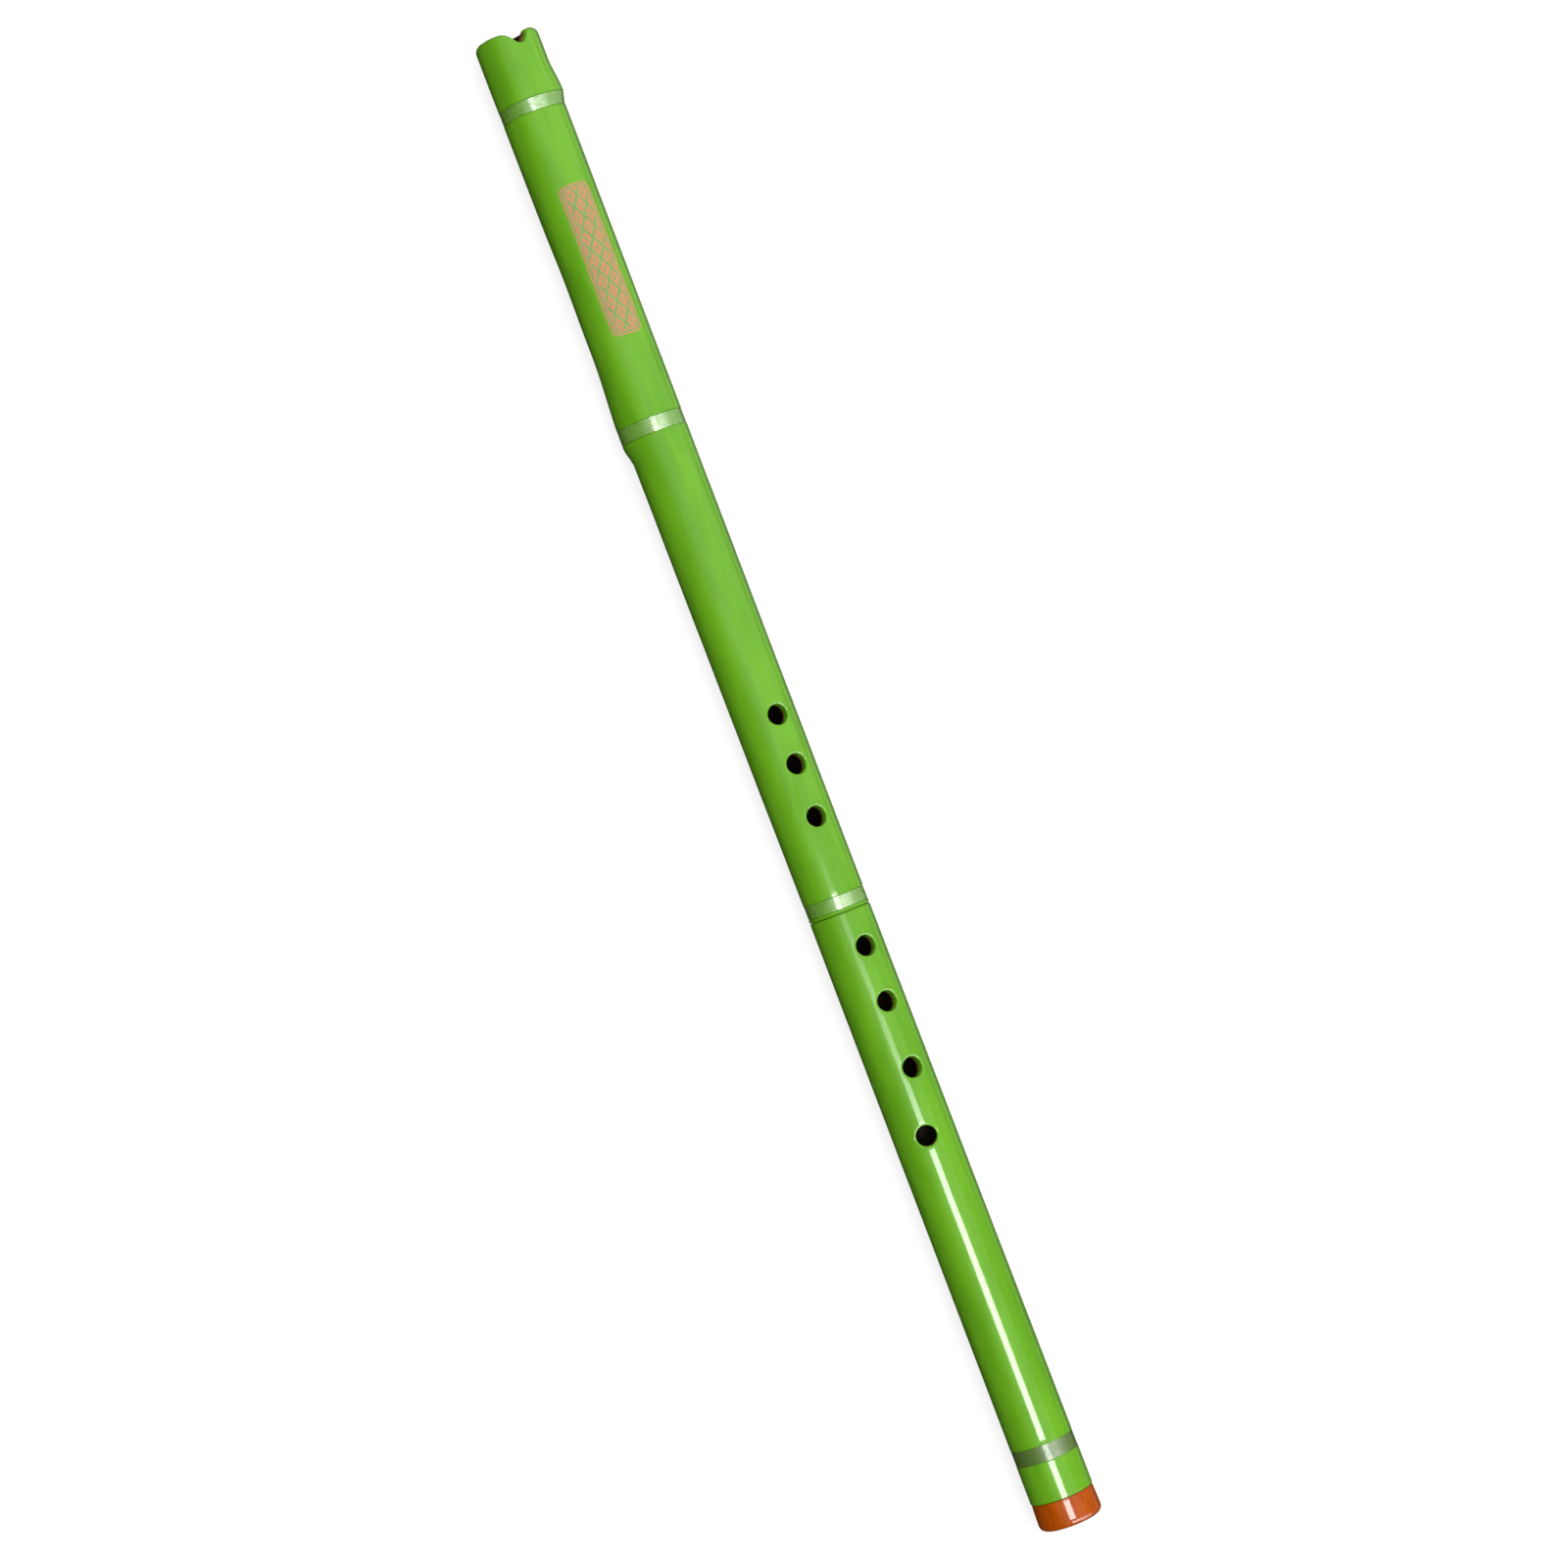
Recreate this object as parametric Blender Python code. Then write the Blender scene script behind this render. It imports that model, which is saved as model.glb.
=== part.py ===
"""A xiao: a notched, end-blown bamboo flute in two sections.

It lies on its back along X, in metres: the mouth at -X, the foot at +X, the finger holes facing +Z.
The origin is on the plane that it rests on, under the middle of the flute.
Distances down the flute are measured from the mouth rim, and turns from +Z towards +Y.
"""

import math
from dataclasses import dataclass

import bmesh
import bpy
from mathutils import Matrix

# Sections and bore
UPPER_LENGTH = 0.4130
LOWER_LENGTH = 0.2870
BORE_DIAMETER = 0.0176
MOUTH_WALL = 0.00575
MOUTH_ROUNDING = 0.0022
BORE_ROUNDING = 0.0008
SEAM_CHAMFER = 0.0004
FIT_GAP = 0.0003

# Joint: a tenon sleeve in the lower section, lapped with cork, slides in a lined socket
TENON_REACH = 0.0240
TENON_SEAT = 0.0100
TENON_WALL = 0.0008
LAPPING_THICKNESS = 0.0008
LAPPING_MARGIN = 0.0020
LINER_WALL = 0.0007
SOCKET_WALL = 0.0020
SOCKET_SPARE = 0.0010

# Foot ring over a turned spigot
FOOT_RING_LENGTH = 0.0128
FOOT_RING_WALL = 0.00295
FOOT_RING_PROUD = 0.0001
FOOT_RING_NECKING = 0.00035
FOOT_RING_WEB = 0.0038
FOOT_ROUNDING = 0.0030
SPIGOT_WALL = 0.0025

# Finger holes and vents, each measured from the socket, the tenon's seat or the hole before it
FINGER_HOLE_DIAMETER = 0.0092
SOCKET_TO_HOLE_3 = 0.0181
HOLE_3_TO_HOLE_2 = 0.0246
HOLE_2_TO_HOLE_1 = 0.0231
HOLE_1_TO_THUMB_HOLE = 0.0220
TENON_SEAT_TO_HOLE_4 = 0.0069
HOLE_4_TO_HOLE_5 = 0.0260
HOLE_5_TO_HOLE_6 = 0.0310
HOLE_6_TO_HOLE_7 = 0.0302
LITTLE_FINGER_TURN = math.radians(-23)
VENT_DIAMETER = 0.0070
HOLE_7_TO_VENT = 0.0480
VENT_STEP = 0.0240

# Blowing notch: its edge at the bore, and the bevel that opens it outwards
NOTCH_DEPTH = 0.0061
NOTCH_WIDTH = 0.0060
NOTCH_BEVEL_RUN = 0.0023
NOTCH_BEVEL_FLARE = 0.0012

# Swellings of the bamboo at its two nodes, each highest beside a binding
NODE_PEAK_FROM_BINDING = 0.0038
UPPER_NODE_HEIGHT = 0.0013
UPPER_NODE_LONG_SIDE = 0.0150
UPPER_NODE_SHORT_SIDE = 0.0070
UPPER_NODE_TURN = math.radians(64)
LOWER_NODE_HEIGHT = 0.0018
LOWER_NODE_LONG_SIDE = 0.0430
LOWER_NODE_SHORT_SIDE = 0.0095
LOWER_NODE_TURN = math.radians(-116)

# Bindings of wound line, sunk into shallow grooves
BINDING_THICKNESS = 0.0005
BINDING_SETBACK = 0.0001
MOUTH_TO_BINDING = 0.0342
MOUTH_BINDING_WIDTH = 0.0062
MOUTH_TO_NODE_BINDING = 0.1838
NODE_BINDING_WIDTH = 0.0070
JOINT_TO_BINDING = 0.0015
JOINT_BINDING_WIDTH = 0.0063
FOOT_TO_BINDING = 0.0345
FOOT_BINDING_WIDTH = 0.0075

# Fineness of the faceted surfaces, and how far a cutter runs past what it cuts
SIDES = 40
HOLE_SIDES = 20
ARC_STEPS = 4
SWELLING_STEPS = 4
NOTCH_STEPS = 6
SMOOTH_UNDER = math.radians(40)
MERGE_DISTANCE = 1e-6
CUT_OVERRUN = 0.0040

# Radii that follow, from the bore outwards
BORE_RADIUS = BORE_DIAMETER / 2
MOUTH_RADIUS = BORE_RADIUS + MOUTH_WALL
TENON_RADIUS = BORE_RADIUS + TENON_WALL
LAPPING_BORE = TENON_RADIUS + FIT_GAP
LAPPING_RADIUS = LAPPING_BORE + LAPPING_THICKNESS
LINER_BORE = LAPPING_RADIUS + FIT_GAP
LINER_RADIUS = LINER_BORE + LINER_WALL
SOCKET_RADIUS = LINER_RADIUS + FIT_GAP
JOINT_RADIUS = SOCKET_RADIUS + SOCKET_WALL
SPIGOT_RADIUS = BORE_RADIUS + SPIGOT_WALL
RING_SEAT_RADIUS = SPIGOT_RADIUS + FIT_GAP
FOOT_RING_RADIUS = RING_SEAT_RADIUS + FOOT_RING_WALL
FOOT_RADIUS = FOOT_RING_RADIUS - FOOT_RING_PROUD
GROOVE_DEPTH = BINDING_THICKNESS + BINDING_SETBACK + FIT_GAP

# Places that follow, along the flute and above the ground
MOUTH_X = -(UPPER_LENGTH + LOWER_LENGTH) / 2
SEAM_X = MOUTH_X + UPPER_LENGTH
FOOT_X = SEAM_X + LOWER_LENGTH
SOCKET_DEPTH = TENON_REACH + SOCKET_SPARE + FIT_GAP
TENON_SEAT_END = TENON_SEAT + FIT_GAP
FOOT_SHOULDER = LOWER_LENGTH - FOOT_RING_LENGTH - FIT_GAP
SPIGOT_LENGTH = FOOT_RING_LENGTH - FOOT_RING_WEB
AXIS_HEIGHT = max(MOUTH_RADIUS, FOOT_RING_RADIUS) * math.cos(math.pi / SIDES)


@dataclass(frozen=True)
class Swelling:
    """A one-sided swelling of the bamboo, highest at peak and on the side that turn names."""

    peak: float
    height: float
    before: float
    after: float
    turn: float

    def stations(self):
        """The distances down the flute at which the swelling needs a ring of points."""
        shares = [step / SWELLING_STEPS for step in range(SWELLING_STEPS + 1)]
        rising = [self.peak - self.before * (1 - share) for share in shares]
        falling = [self.peak + self.after * share for share in shares[1:]]
        return rising + falling

    def lift(self, distance, turn):
        """How far the surface stands out at a distance down the flute and a turn round it."""
        side = self.before if distance < self.peak else self.after
        share = max(0.0, 1 - abs(distance - self.peak) / side)
        facing = max(0.0, math.cos(turn - self.turn))
        return self.height * (0.5 - 0.5 * math.cos(math.pi * share)) * facing**3


@dataclass(frozen=True)
class Binding:
    """A band of wound line, with its middle at a distance from the mouth."""

    name: str
    middle: float
    width: float

    def groove(self):
        """The groove's two edges, with the fit gap on either side of the band."""
        half = self.width / 2 + FIT_GAP
        return self.middle - half, self.middle + half


MOUTH_BINDING = Binding("binding_mouth", MOUTH_TO_BINDING, MOUTH_BINDING_WIDTH)
NODE_BINDING = Binding("binding_node", MOUTH_TO_NODE_BINDING, NODE_BINDING_WIDTH)
JOINT_BINDING = Binding(
    "binding_joint", UPPER_LENGTH - JOINT_TO_BINDING - JOINT_BINDING_WIDTH / 2, JOINT_BINDING_WIDTH
)
FOOT_BINDING = Binding(
    "binding_foot", UPPER_LENGTH + LOWER_LENGTH - FOOT_TO_BINDING, FOOT_BINDING_WIDTH
)
SWELLINGS = (
    Swelling(
        MOUTH_BINDING.middle - NODE_PEAK_FROM_BINDING,
        UPPER_NODE_HEIGHT,
        UPPER_NODE_LONG_SIDE,
        UPPER_NODE_SHORT_SIDE,
        UPPER_NODE_TURN,
    ),
    Swelling(
        NODE_BINDING.middle + NODE_PEAK_FROM_BINDING,
        LOWER_NODE_HEIGHT,
        LOWER_NODE_LONG_SIDE,
        LOWER_NODE_SHORT_SIDE,
        LOWER_NODE_TURN,
    ),
)


def clear_scene():
    """Removes every object of the scene that the file opens with."""
    for obj in list(bpy.data.objects):
        bpy.data.objects.remove(obj, do_unlink=True)


def material(name, colour, roughness, metallic=0.0):
    """A Principled material of one colour."""
    made = bpy.data.materials.new(name)
    made.use_nodes = True
    shader = made.node_tree.nodes["Principled BSDF"]
    shader.inputs["Base Color"].default_value = (*colour, 1.0)
    shader.inputs["Roughness"].default_value = roughness
    shader.inputs["Metallic"].default_value = metallic
    made.diffuse_color = (*colour, 1.0)
    return made


def tube_radius(distance):
    """The tube's outer radius, which narrows to the joint and widens again to the foot."""
    if distance <= UPPER_LENGTH:
        return MOUTH_RADIUS + (JOINT_RADIUS - MOUTH_RADIUS) * distance / UPPER_LENGTH
    share = (distance - UPPER_LENGTH) / FOOT_SHOULDER
    return JOINT_RADIUS + (FOOT_RADIUS - JOINT_RADIUS) * share


def arc(centre_x, centre_radius, radius, start, end):
    """Points of a round corner in the profile plane, from one angle to the other."""
    angles = [start + (end - start) * step / ARC_STEPS for step in range(ARC_STEPS + 1)]
    return [
        (centre_x + radius * math.cos(angle), centre_radius + radius * math.sin(angle))
        for angle in angles
    ]


def tube_surface(start, end, bindings):
    """Profile of the tube's outside between two distances, with the bindings' grooves cut in."""
    grooves = [binding.groove() for binding in bindings]
    stations = [mark for swelling in SWELLINGS for mark in swelling.stations()]
    marks = {start, end}
    marks.update(edge for groove in grooves for edge in groove)
    marks.update(mark for mark in stations if start < mark < end)
    points = []
    for mark in sorted(marks):
        level = tube_radius(mark)
        sunk = level - GROOVE_DEPTH
        groove = next((g for g in grooves if g[0] <= mark <= g[1]), None)
        if groove is None:
            points.append((mark, level))
        elif mark == groove[0]:
            points += [(mark, level), (mark, sunk)]
        elif mark == groove[1]:
            points += [(mark, sunk), (mark, level)]
        else:
            points.append((mark, sunk))
    return points


def turned_mesh(profile):
    """A mesh turned about X from a closed profile of (x, radius) points, with a flat facet below."""
    bm = bmesh.new()
    turn = math.pi / SIDES
    verts = [
        bm.verts.new((x, radius * math.sin(turn), radius * math.cos(turn))) for x, radius in profile
    ]
    edges = [bm.edges.new((verts[i - 1], verts[i])) for i in range(len(verts))]
    bmesh.ops.spin(
        bm,
        geom=verts + edges,
        cent=(0, 0, 0),
        axis=(1, 0, 0),
        angle=2 * math.pi,
        steps=SIDES,
        use_merge=True,
    )
    bmesh.ops.remove_doubles(bm, verts=bm.verts, dist=MERGE_DISTANCE)
    bmesh.ops.recalc_face_normals(bm, faces=bm.faces)
    return bm


def follow_swellings(bm, mouth_distance, inner_limit):
    """Lifts the points outside a radius with the bamboo's swellings."""
    for vert in bm.verts:
        radius = math.hypot(vert.co.y, vert.co.z)
        if radius < inner_limit:
            continue
        turn = math.atan2(vert.co.y, vert.co.z)
        distance = mouth_distance + vert.co.x
        lifted = radius + sum(swelling.lift(distance, turn) for swelling in SWELLINGS)
        vert.co.y *= lifted / radius
        vert.co.z *= lifted / radius


def add_object(name, bm, x, parent, look):
    """Makes the node from a finished mesh, at a place on its parent's axis."""
    mesh = bpy.data.meshes.new(name)
    bm.to_mesh(mesh)
    bm.free()
    mesh.shade_smooth()
    mesh.set_sharp_from_angle(angle=SMOOTH_UNDER)
    mesh.materials.append(look)
    obj = bpy.data.objects.new(name, mesh)
    bpy.context.scene.collection.objects.link(obj)
    obj.location.x = x
    obj.parent = parent
    return obj


def add_axis(name):
    """An empty on the flute's axis, at the joint, which carries one moving part."""
    axis = bpy.data.objects.new(name, None)
    bpy.context.scene.collection.objects.link(axis)
    axis.location = (SEAM_X, 0, AXIS_HEIGHT)
    axis.empty_display_size = BORE_DIAMETER
    return axis


def add_hole(bm, x, diameter, turn):
    """Adds one cutter to bm, which runs out from the bore's middle through one wall."""
    widest = max(MOUTH_RADIUS, JOINT_RADIUS, FOOT_RADIUS)
    reach = widest + max(UPPER_NODE_HEIGHT, LOWER_NODE_HEIGHT) + CUT_OVERRUN
    outwards = Matrix.Rotation(-turn, 4, "X") @ Matrix.Translation((0, 0, reach / 2))
    bmesh.ops.create_cone(
        bm,
        cap_ends=True,
        segments=HOLE_SIDES,
        radius1=diameter / 2,
        radius2=diameter / 2,
        depth=reach,
        matrix=Matrix.Translation((x, 0, 0)) @ outwards,
    )


def notch_outline(level):
    """The notch's outline at a height above the axis, deeper and wider further out."""
    share = (level - BORE_RADIUS) / MOUTH_WALL
    depth = NOTCH_DEPTH + NOTCH_BEVEL_RUN * share
    half = NOTCH_WIDTH / 2 + NOTCH_BEVEL_FLARE * share
    steps = [step / NOTCH_STEPS for step in range(-NOTCH_STEPS, NOTCH_STEPS + 1)]
    curve = [(depth * (1 - step**2), half * step) for step in steps]
    return [(-CUT_OVERRUN, -half)] + curve + [(-CUT_OVERRUN, half)]


def add_notch(bm):
    """Adds the notch's cutter to bm, from inside the bore to outside the wall."""
    levels = (BORE_RADIUS - CUT_OVERRUN, MOUTH_RADIUS + CUT_OVERRUN)
    rings = [
        [bm.verts.new((x, y, level)) for x, y in notch_outline(level)] for level in levels
    ]
    faces = [bm.faces.new(ring) for ring in rings]
    for i in range(len(rings[0])):
        faces.append(bm.faces.new((rings[0][i - 1], rings[0][i], rings[1][i], rings[1][i - 1])))
    bmesh.ops.triangulate(bm, faces=faces)


def cut_with(obj, bm):
    """Cuts the closed shapes in bm out of the object with a live Boolean."""
    bmesh.ops.recalc_face_normals(bm, faces=bm.faces)
    mesh = bpy.data.meshes.new(obj.name + "_cutters")
    bm.to_mesh(mesh)
    bm.free()
    cutter = bpy.data.objects.new(mesh.name, mesh)
    bpy.context.scene.collection.objects.link(cutter)
    cutter.location = obj.location
    cutter.parent = obj.parent
    cutter.hide_render = True
    cutter.display_type = "WIRE"
    boolean = obj.modifiers.new("holes", "BOOLEAN")
    boolean.operation = "DIFFERENCE"
    boolean.solver = "EXACT"
    boolean.object = cutter


def ring_profile(start, end, inner, outer):
    """A plain tube's closed profile."""
    return [(start, outer), (end, outer), (end, inner), (start, inner)]


def upper_holes():
    """Distances of the upper section's holes from the mouth, with diameter and turn."""
    third = UPPER_LENGTH - SOCKET_DEPTH - SOCKET_TO_HOLE_3
    second = third - HOLE_3_TO_HOLE_2
    first = second - HOLE_2_TO_HOLE_1
    front = [(place, FINGER_HOLE_DIAMETER, 0.0) for place in (first, second, third)]
    return front + [(first - HOLE_1_TO_THUMB_HOLE, FINGER_HOLE_DIAMETER, math.pi)]


def lower_holes():
    """Distances of the lower section's holes from the seam, with diameter and turn."""
    fourth = TENON_SEAT_END + TENON_SEAT_TO_HOLE_4
    fifth = fourth + HOLE_4_TO_HOLE_5
    sixth = fifth + HOLE_5_TO_HOLE_6
    seventh = sixth + HOLE_6_TO_HOLE_7
    vent = seventh + HOLE_7_TO_VENT
    front = [(place, FINGER_HOLE_DIAMETER, 0.0) for place in (fourth, fifth, sixth)]
    little = (seventh, FINGER_HOLE_DIAMETER, LITTLE_FINGER_TURN)
    vents = [(place, VENT_DIAMETER, math.pi) for place in (vent, vent + VENT_STEP)]
    return front + [little] + vents


def make_upper_tube(parent, look):
    """The upper section: rounded mouth, notch, three finger holes, thumb hole and socket."""
    rim = arc(
        MOUTH_ROUNDING, MOUTH_RADIUS - MOUTH_ROUNDING, MOUTH_ROUNDING, math.pi, math.pi / 2
    )
    bindings = (MOUTH_BINDING, NODE_BINDING, JOINT_BINDING)
    outside = tube_surface(MOUTH_ROUNDING, UPPER_LENGTH - SEAM_CHAMFER, bindings)
    socket_end = UPPER_LENGTH - SOCKET_DEPTH
    inside = [
        (UPPER_LENGTH, JOINT_RADIUS - SEAM_CHAMFER),
        (UPPER_LENGTH, SOCKET_RADIUS),
        (socket_end, SOCKET_RADIUS),
        (socket_end, BORE_RADIUS),
    ]
    lip = arc(BORE_ROUNDING, BORE_RADIUS + BORE_ROUNDING, BORE_ROUNDING, 1.5 * math.pi, math.pi)
    bm = turned_mesh(rim[:-1] + outside + inside + lip)
    follow_swellings(bm, 0.0, SOCKET_RADIUS + FIT_GAP)
    tube = add_object("upper_tube", bm, MOUTH_X - SEAM_X, parent, look)
    cutters = bmesh.new()
    for place, diameter, turn in upper_holes():
        add_hole(cutters, place, diameter, turn)
    add_notch(cutters)
    cut_with(tube, cutters)


def make_lower_tube(parent, look):
    """The lower section: tenon seat, four finger holes, two vents and the spigot at its foot."""
    start = UPPER_LENGTH + FIT_GAP + SEAM_CHAMFER
    outside = [
        (mark - UPPER_LENGTH, radius)
        for mark, radius in tube_surface(start, UPPER_LENGTH + FOOT_SHOULDER, (FOOT_BINDING,))
    ]
    spigot_end = FOOT_SHOULDER + SPIGOT_LENGTH
    seat = TENON_RADIUS + FIT_GAP
    inside = [
        (FOOT_SHOULDER, SPIGOT_RADIUS),
        (spigot_end, SPIGOT_RADIUS),
        (spigot_end, BORE_RADIUS),
        (TENON_SEAT_END, BORE_RADIUS),
        (TENON_SEAT_END, seat),
        (FIT_GAP, seat),
        (FIT_GAP, JOINT_RADIUS - SEAM_CHAMFER),
    ]
    tube = add_object("lower_tube", turned_mesh(outside + inside), 0.0, parent, look)
    cutters = bmesh.new()
    for place, diameter, turn in lower_holes():
        add_hole(cutters, place, diameter, turn)
    cut_with(tube, cutters)


def make_binding(binding, parent, look):
    """One band of wound line, which follows the tube's taper and swelling under it."""
    outer = -BINDING_SETBACK
    inner = outer - BINDING_THICKNESS
    shares = (-0.5, 0.0, 0.5)
    levels = [
        (binding.width * share, tube_radius(binding.middle + binding.width * share))
        for share in shares
    ]
    top = [(x, level + outer) for x, level in levels]
    under = [(x, level + inner) for x, level in reversed(levels)]
    bm = turned_mesh(top + under)
    follow_swellings(bm, binding.middle, BORE_RADIUS)
    add_object(binding.name, bm, binding.middle - UPPER_LENGTH, parent, look)


def make_socket_liner(parent, look):
    """The metal liner of the upper section's socket."""
    profile = ring_profile(-TENON_REACH - SOCKET_SPARE, 0.0, LINER_BORE, LINER_RADIUS)
    add_object("socket_liner", turned_mesh(profile), 0.0, parent, look)


def make_tenon_sleeve(parent, look):
    """The metal tenon, set in the lower section and reaching into the socket."""
    profile = ring_profile(-TENON_REACH, TENON_SEAT, BORE_RADIUS, TENON_RADIUS)
    add_object("tenon_sleeve", turned_mesh(profile), 0.0, parent, look)


def make_tenon_lapping(parent, look):
    """The cork lapping round the tenon."""
    start = -TENON_REACH + LAPPING_MARGIN
    profile = ring_profile(start, -LAPPING_MARGIN, LAPPING_BORE, LAPPING_RADIUS)
    add_object("tenon_lapping", turned_mesh(profile), 0.0, parent, look)


def make_foot_ring(parent, look):
    """The ring over the spigot: barrelled, rounded at the end, with a web over the end grain."""
    neck = FOOT_RING_RADIUS - FOOT_RING_NECKING
    barrel_end = FOOT_RING_LENGTH - FOOT_ROUNDING
    shares = [step / ARC_STEPS for step in range(ARC_STEPS)]
    barrel = [
        (barrel_end * share, neck + FOOT_RING_NECKING * math.sin(math.pi / 2 * share))
        for share in shares
    ]
    end = arc(barrel_end, FOOT_RING_RADIUS - FOOT_ROUNDING, FOOT_ROUNDING, math.pi / 2, 0.0)
    lip_x = FOOT_RING_LENGTH - BORE_ROUNDING
    lip = arc(lip_x, BORE_RADIUS + BORE_ROUNDING, BORE_ROUNDING, 0.0, -math.pi / 2)
    inside = [
        (SPIGOT_LENGTH, BORE_RADIUS),
        (SPIGOT_LENGTH, RING_SEAT_RADIUS),
        (0.0, RING_SEAT_RADIUS),
    ]
    bm = turned_mesh(barrel + end + lip + inside)
    add_object("foot_ring", bm, LOWER_LENGTH - FOOT_RING_LENGTH, parent, look)


def main():
    """Builds the flute: the upper section, the tenon's lapping and the lower section."""
    clear_scene()
    lacquer = material("green_lacquer", (0.16, 0.43, 0.04), 0.28)
    line = material("binding_line", (0.50, 0.62, 0.35), 0.25)
    brass = material("brass", (0.72, 0.52, 0.22), 0.35, 1.0)
    cork = material("cork", (0.52, 0.33, 0.18), 0.85)
    amber = material("foot_ring_amber", (0.46, 0.08, 0.01), 0.25)
    upper_axis = add_axis("upper_section_axis")
    lapping_axis = add_axis("tenon_lapping_axis")
    lower_axis = add_axis("lower_section_axis")
    make_upper_tube(upper_axis, lacquer)
    for binding in (MOUTH_BINDING, NODE_BINDING, JOINT_BINDING):
        make_binding(binding, upper_axis, line)
    make_socket_liner(upper_axis, brass)
    make_tenon_lapping(lapping_axis, cork)
    make_tenon_sleeve(lower_axis, brass)
    make_lower_tube(lower_axis, lacquer)
    make_binding(FOOT_BINDING, lower_axis, line)
    make_foot_ring(lower_axis, amber)


main()
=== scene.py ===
"""Looks of a xiao in two sections: green lacquered bamboo, wound line, a lapped joint and a foot ring.

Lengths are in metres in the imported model's axes: X runs from the mouth to the foot, and Z points out of
the finger holes. Distances are measured down the flute from the mouth rim, and turns from +Z to +Y.
"""

import logging
import math
from abc import ABC, abstractmethod
from collections.abc import Callable, Iterable, Sequence
from dataclasses import dataclass, field
from enum import Enum
from typing import Any

import bmesh
import bpy
from mathutils import Matrix, Vector


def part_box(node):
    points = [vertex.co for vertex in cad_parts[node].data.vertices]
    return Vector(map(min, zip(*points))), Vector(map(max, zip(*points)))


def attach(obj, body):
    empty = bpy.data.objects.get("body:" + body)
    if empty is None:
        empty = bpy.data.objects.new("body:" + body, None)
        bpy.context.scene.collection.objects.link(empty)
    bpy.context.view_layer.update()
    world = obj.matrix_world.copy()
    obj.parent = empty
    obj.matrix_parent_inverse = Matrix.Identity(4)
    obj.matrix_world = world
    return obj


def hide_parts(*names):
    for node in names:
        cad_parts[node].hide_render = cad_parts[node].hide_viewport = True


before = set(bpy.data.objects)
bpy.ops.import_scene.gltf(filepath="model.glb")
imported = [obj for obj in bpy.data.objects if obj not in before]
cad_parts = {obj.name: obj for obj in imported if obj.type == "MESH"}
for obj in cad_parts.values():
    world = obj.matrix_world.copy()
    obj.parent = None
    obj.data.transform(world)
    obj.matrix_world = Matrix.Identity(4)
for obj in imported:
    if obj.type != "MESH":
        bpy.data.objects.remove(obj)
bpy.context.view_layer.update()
LOG = logging.getLogger("xiao")
TURNED_COLUMNS = 144

Colour = tuple[float, float, float]
Place = tuple[float, float, float]


def mixed(first: float, second: float, share: float) -> float:
    """The first number turning into the second as the share goes from 0 to 1."""
    return first + (second - first) * share


def smooth_step(value: float, low: float, high: float) -> float:
    """A smooth step from 0 at low to 1 at high."""
    share = min(1.0, max(0.0, (value - low) / (high - low)))
    return share * share * (3 - 2 * share)


def quarter_round(steps: int, first: int = 0) -> list[tuple[float, float]]:
    """The sine, and 1 less the cosine, of the even steps of a quarter turn from its first on."""
    angles = [math.pi / 2 * step / steps for step in range(first, steps + 1)]
    return [(math.sin(angle), 1 - math.cos(angle)) for angle in angles]


def spread(marks: Iterable[float], step: float) -> list[float]:
    """Sorted marks, with even steps filled in wherever two lie further apart than a step.

    Args:
        marks: The places that must be in the result.
        step: The longest gap that is left.

    Returns:
        All the places, in order.
    """
    ordered = sorted(marks)
    places = ordered[:1]
    for mark in ordered[1:]:
        start = places[-1]
        count = max(1, math.ceil((mark - start) / step - 1e-6))
        places += [mixed(start, mark, (i + 1) / count) for i in range(count)]
    return places


def joining(
    operation: str, swapped: bool = False
) -> Callable[["Signal", "Signal | float"], "Signal"]:
    """Makes a method that joins a signal and another value in one Math node.

    Args:
        operation: The node's operation.
        swapped: Whether the other value comes first.

    Returns:
        The method.
    """

    def method(self: "Signal", other: "Signal | float") -> "Signal":
        """Joins this signal and the other value in one Math node."""
        values = (other, self) if swapped else (self, other)
        return self.graph.maths(operation, *values)

    return method


class Signal:
    """One output of a node, which Python's operators combine into further Math nodes."""

    __add__ = joining("ADD")
    __radd__ = joining("ADD", swapped=True)
    __sub__ = joining("SUBTRACT")
    __rsub__ = joining("SUBTRACT", swapped=True)
    __mul__ = joining("MULTIPLY")
    __rmul__ = joining("MULTIPLY", swapped=True)
    __truediv__ = joining("DIVIDE")
    __pow__ = joining("POWER")
    at_least = joining("MAXIMUM")
    at_most = joining("MINIMUM")

    def __init__(self, graph: "Graph", socket: bpy.types.NodeSocket) -> None:
        """Wraps one output of a node of a graph."""
        self.graph = graph
        self.socket = socket

    def part(self, name: str) -> "Signal":
        """Another output of the same node, by its name."""
        return Signal(self.graph, self.socket.node.outputs[name])

    def __abs__(self) -> "Signal":
        """This one without its sign."""
        return self.graph.maths("ABSOLUTE", self)

    def cosine(self) -> "Signal":
        """Its cosine."""
        return self.graph.maths("COSINE", self)

    def fraction(self) -> "Signal":
        """What is left past the whole number."""
        return self.graph.maths("FRACT", self)

    def ease(self, low: float, high: float) -> "Signal":
        """A smooth step from 0 at low to 1 at high, which falls instead where high is the smaller.

        Args:
            low: The value at which the step is 0.
            high: The value at which it is 1.

        Returns:
            The step, from 0 to 1.
        """
        falling = high < low
        return self.graph.add(
            "ShaderNodeMapRange",
            {"interpolation_type": "SMOOTHSTEP"},
            {
                "Value": self,
                "From Min": min(low, high),
                "From Max": max(low, high),
                "To Min": 1.0 if falling else 0.0,
                "To Max": 0.0 if falling else 1.0,
            },
        )


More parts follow.
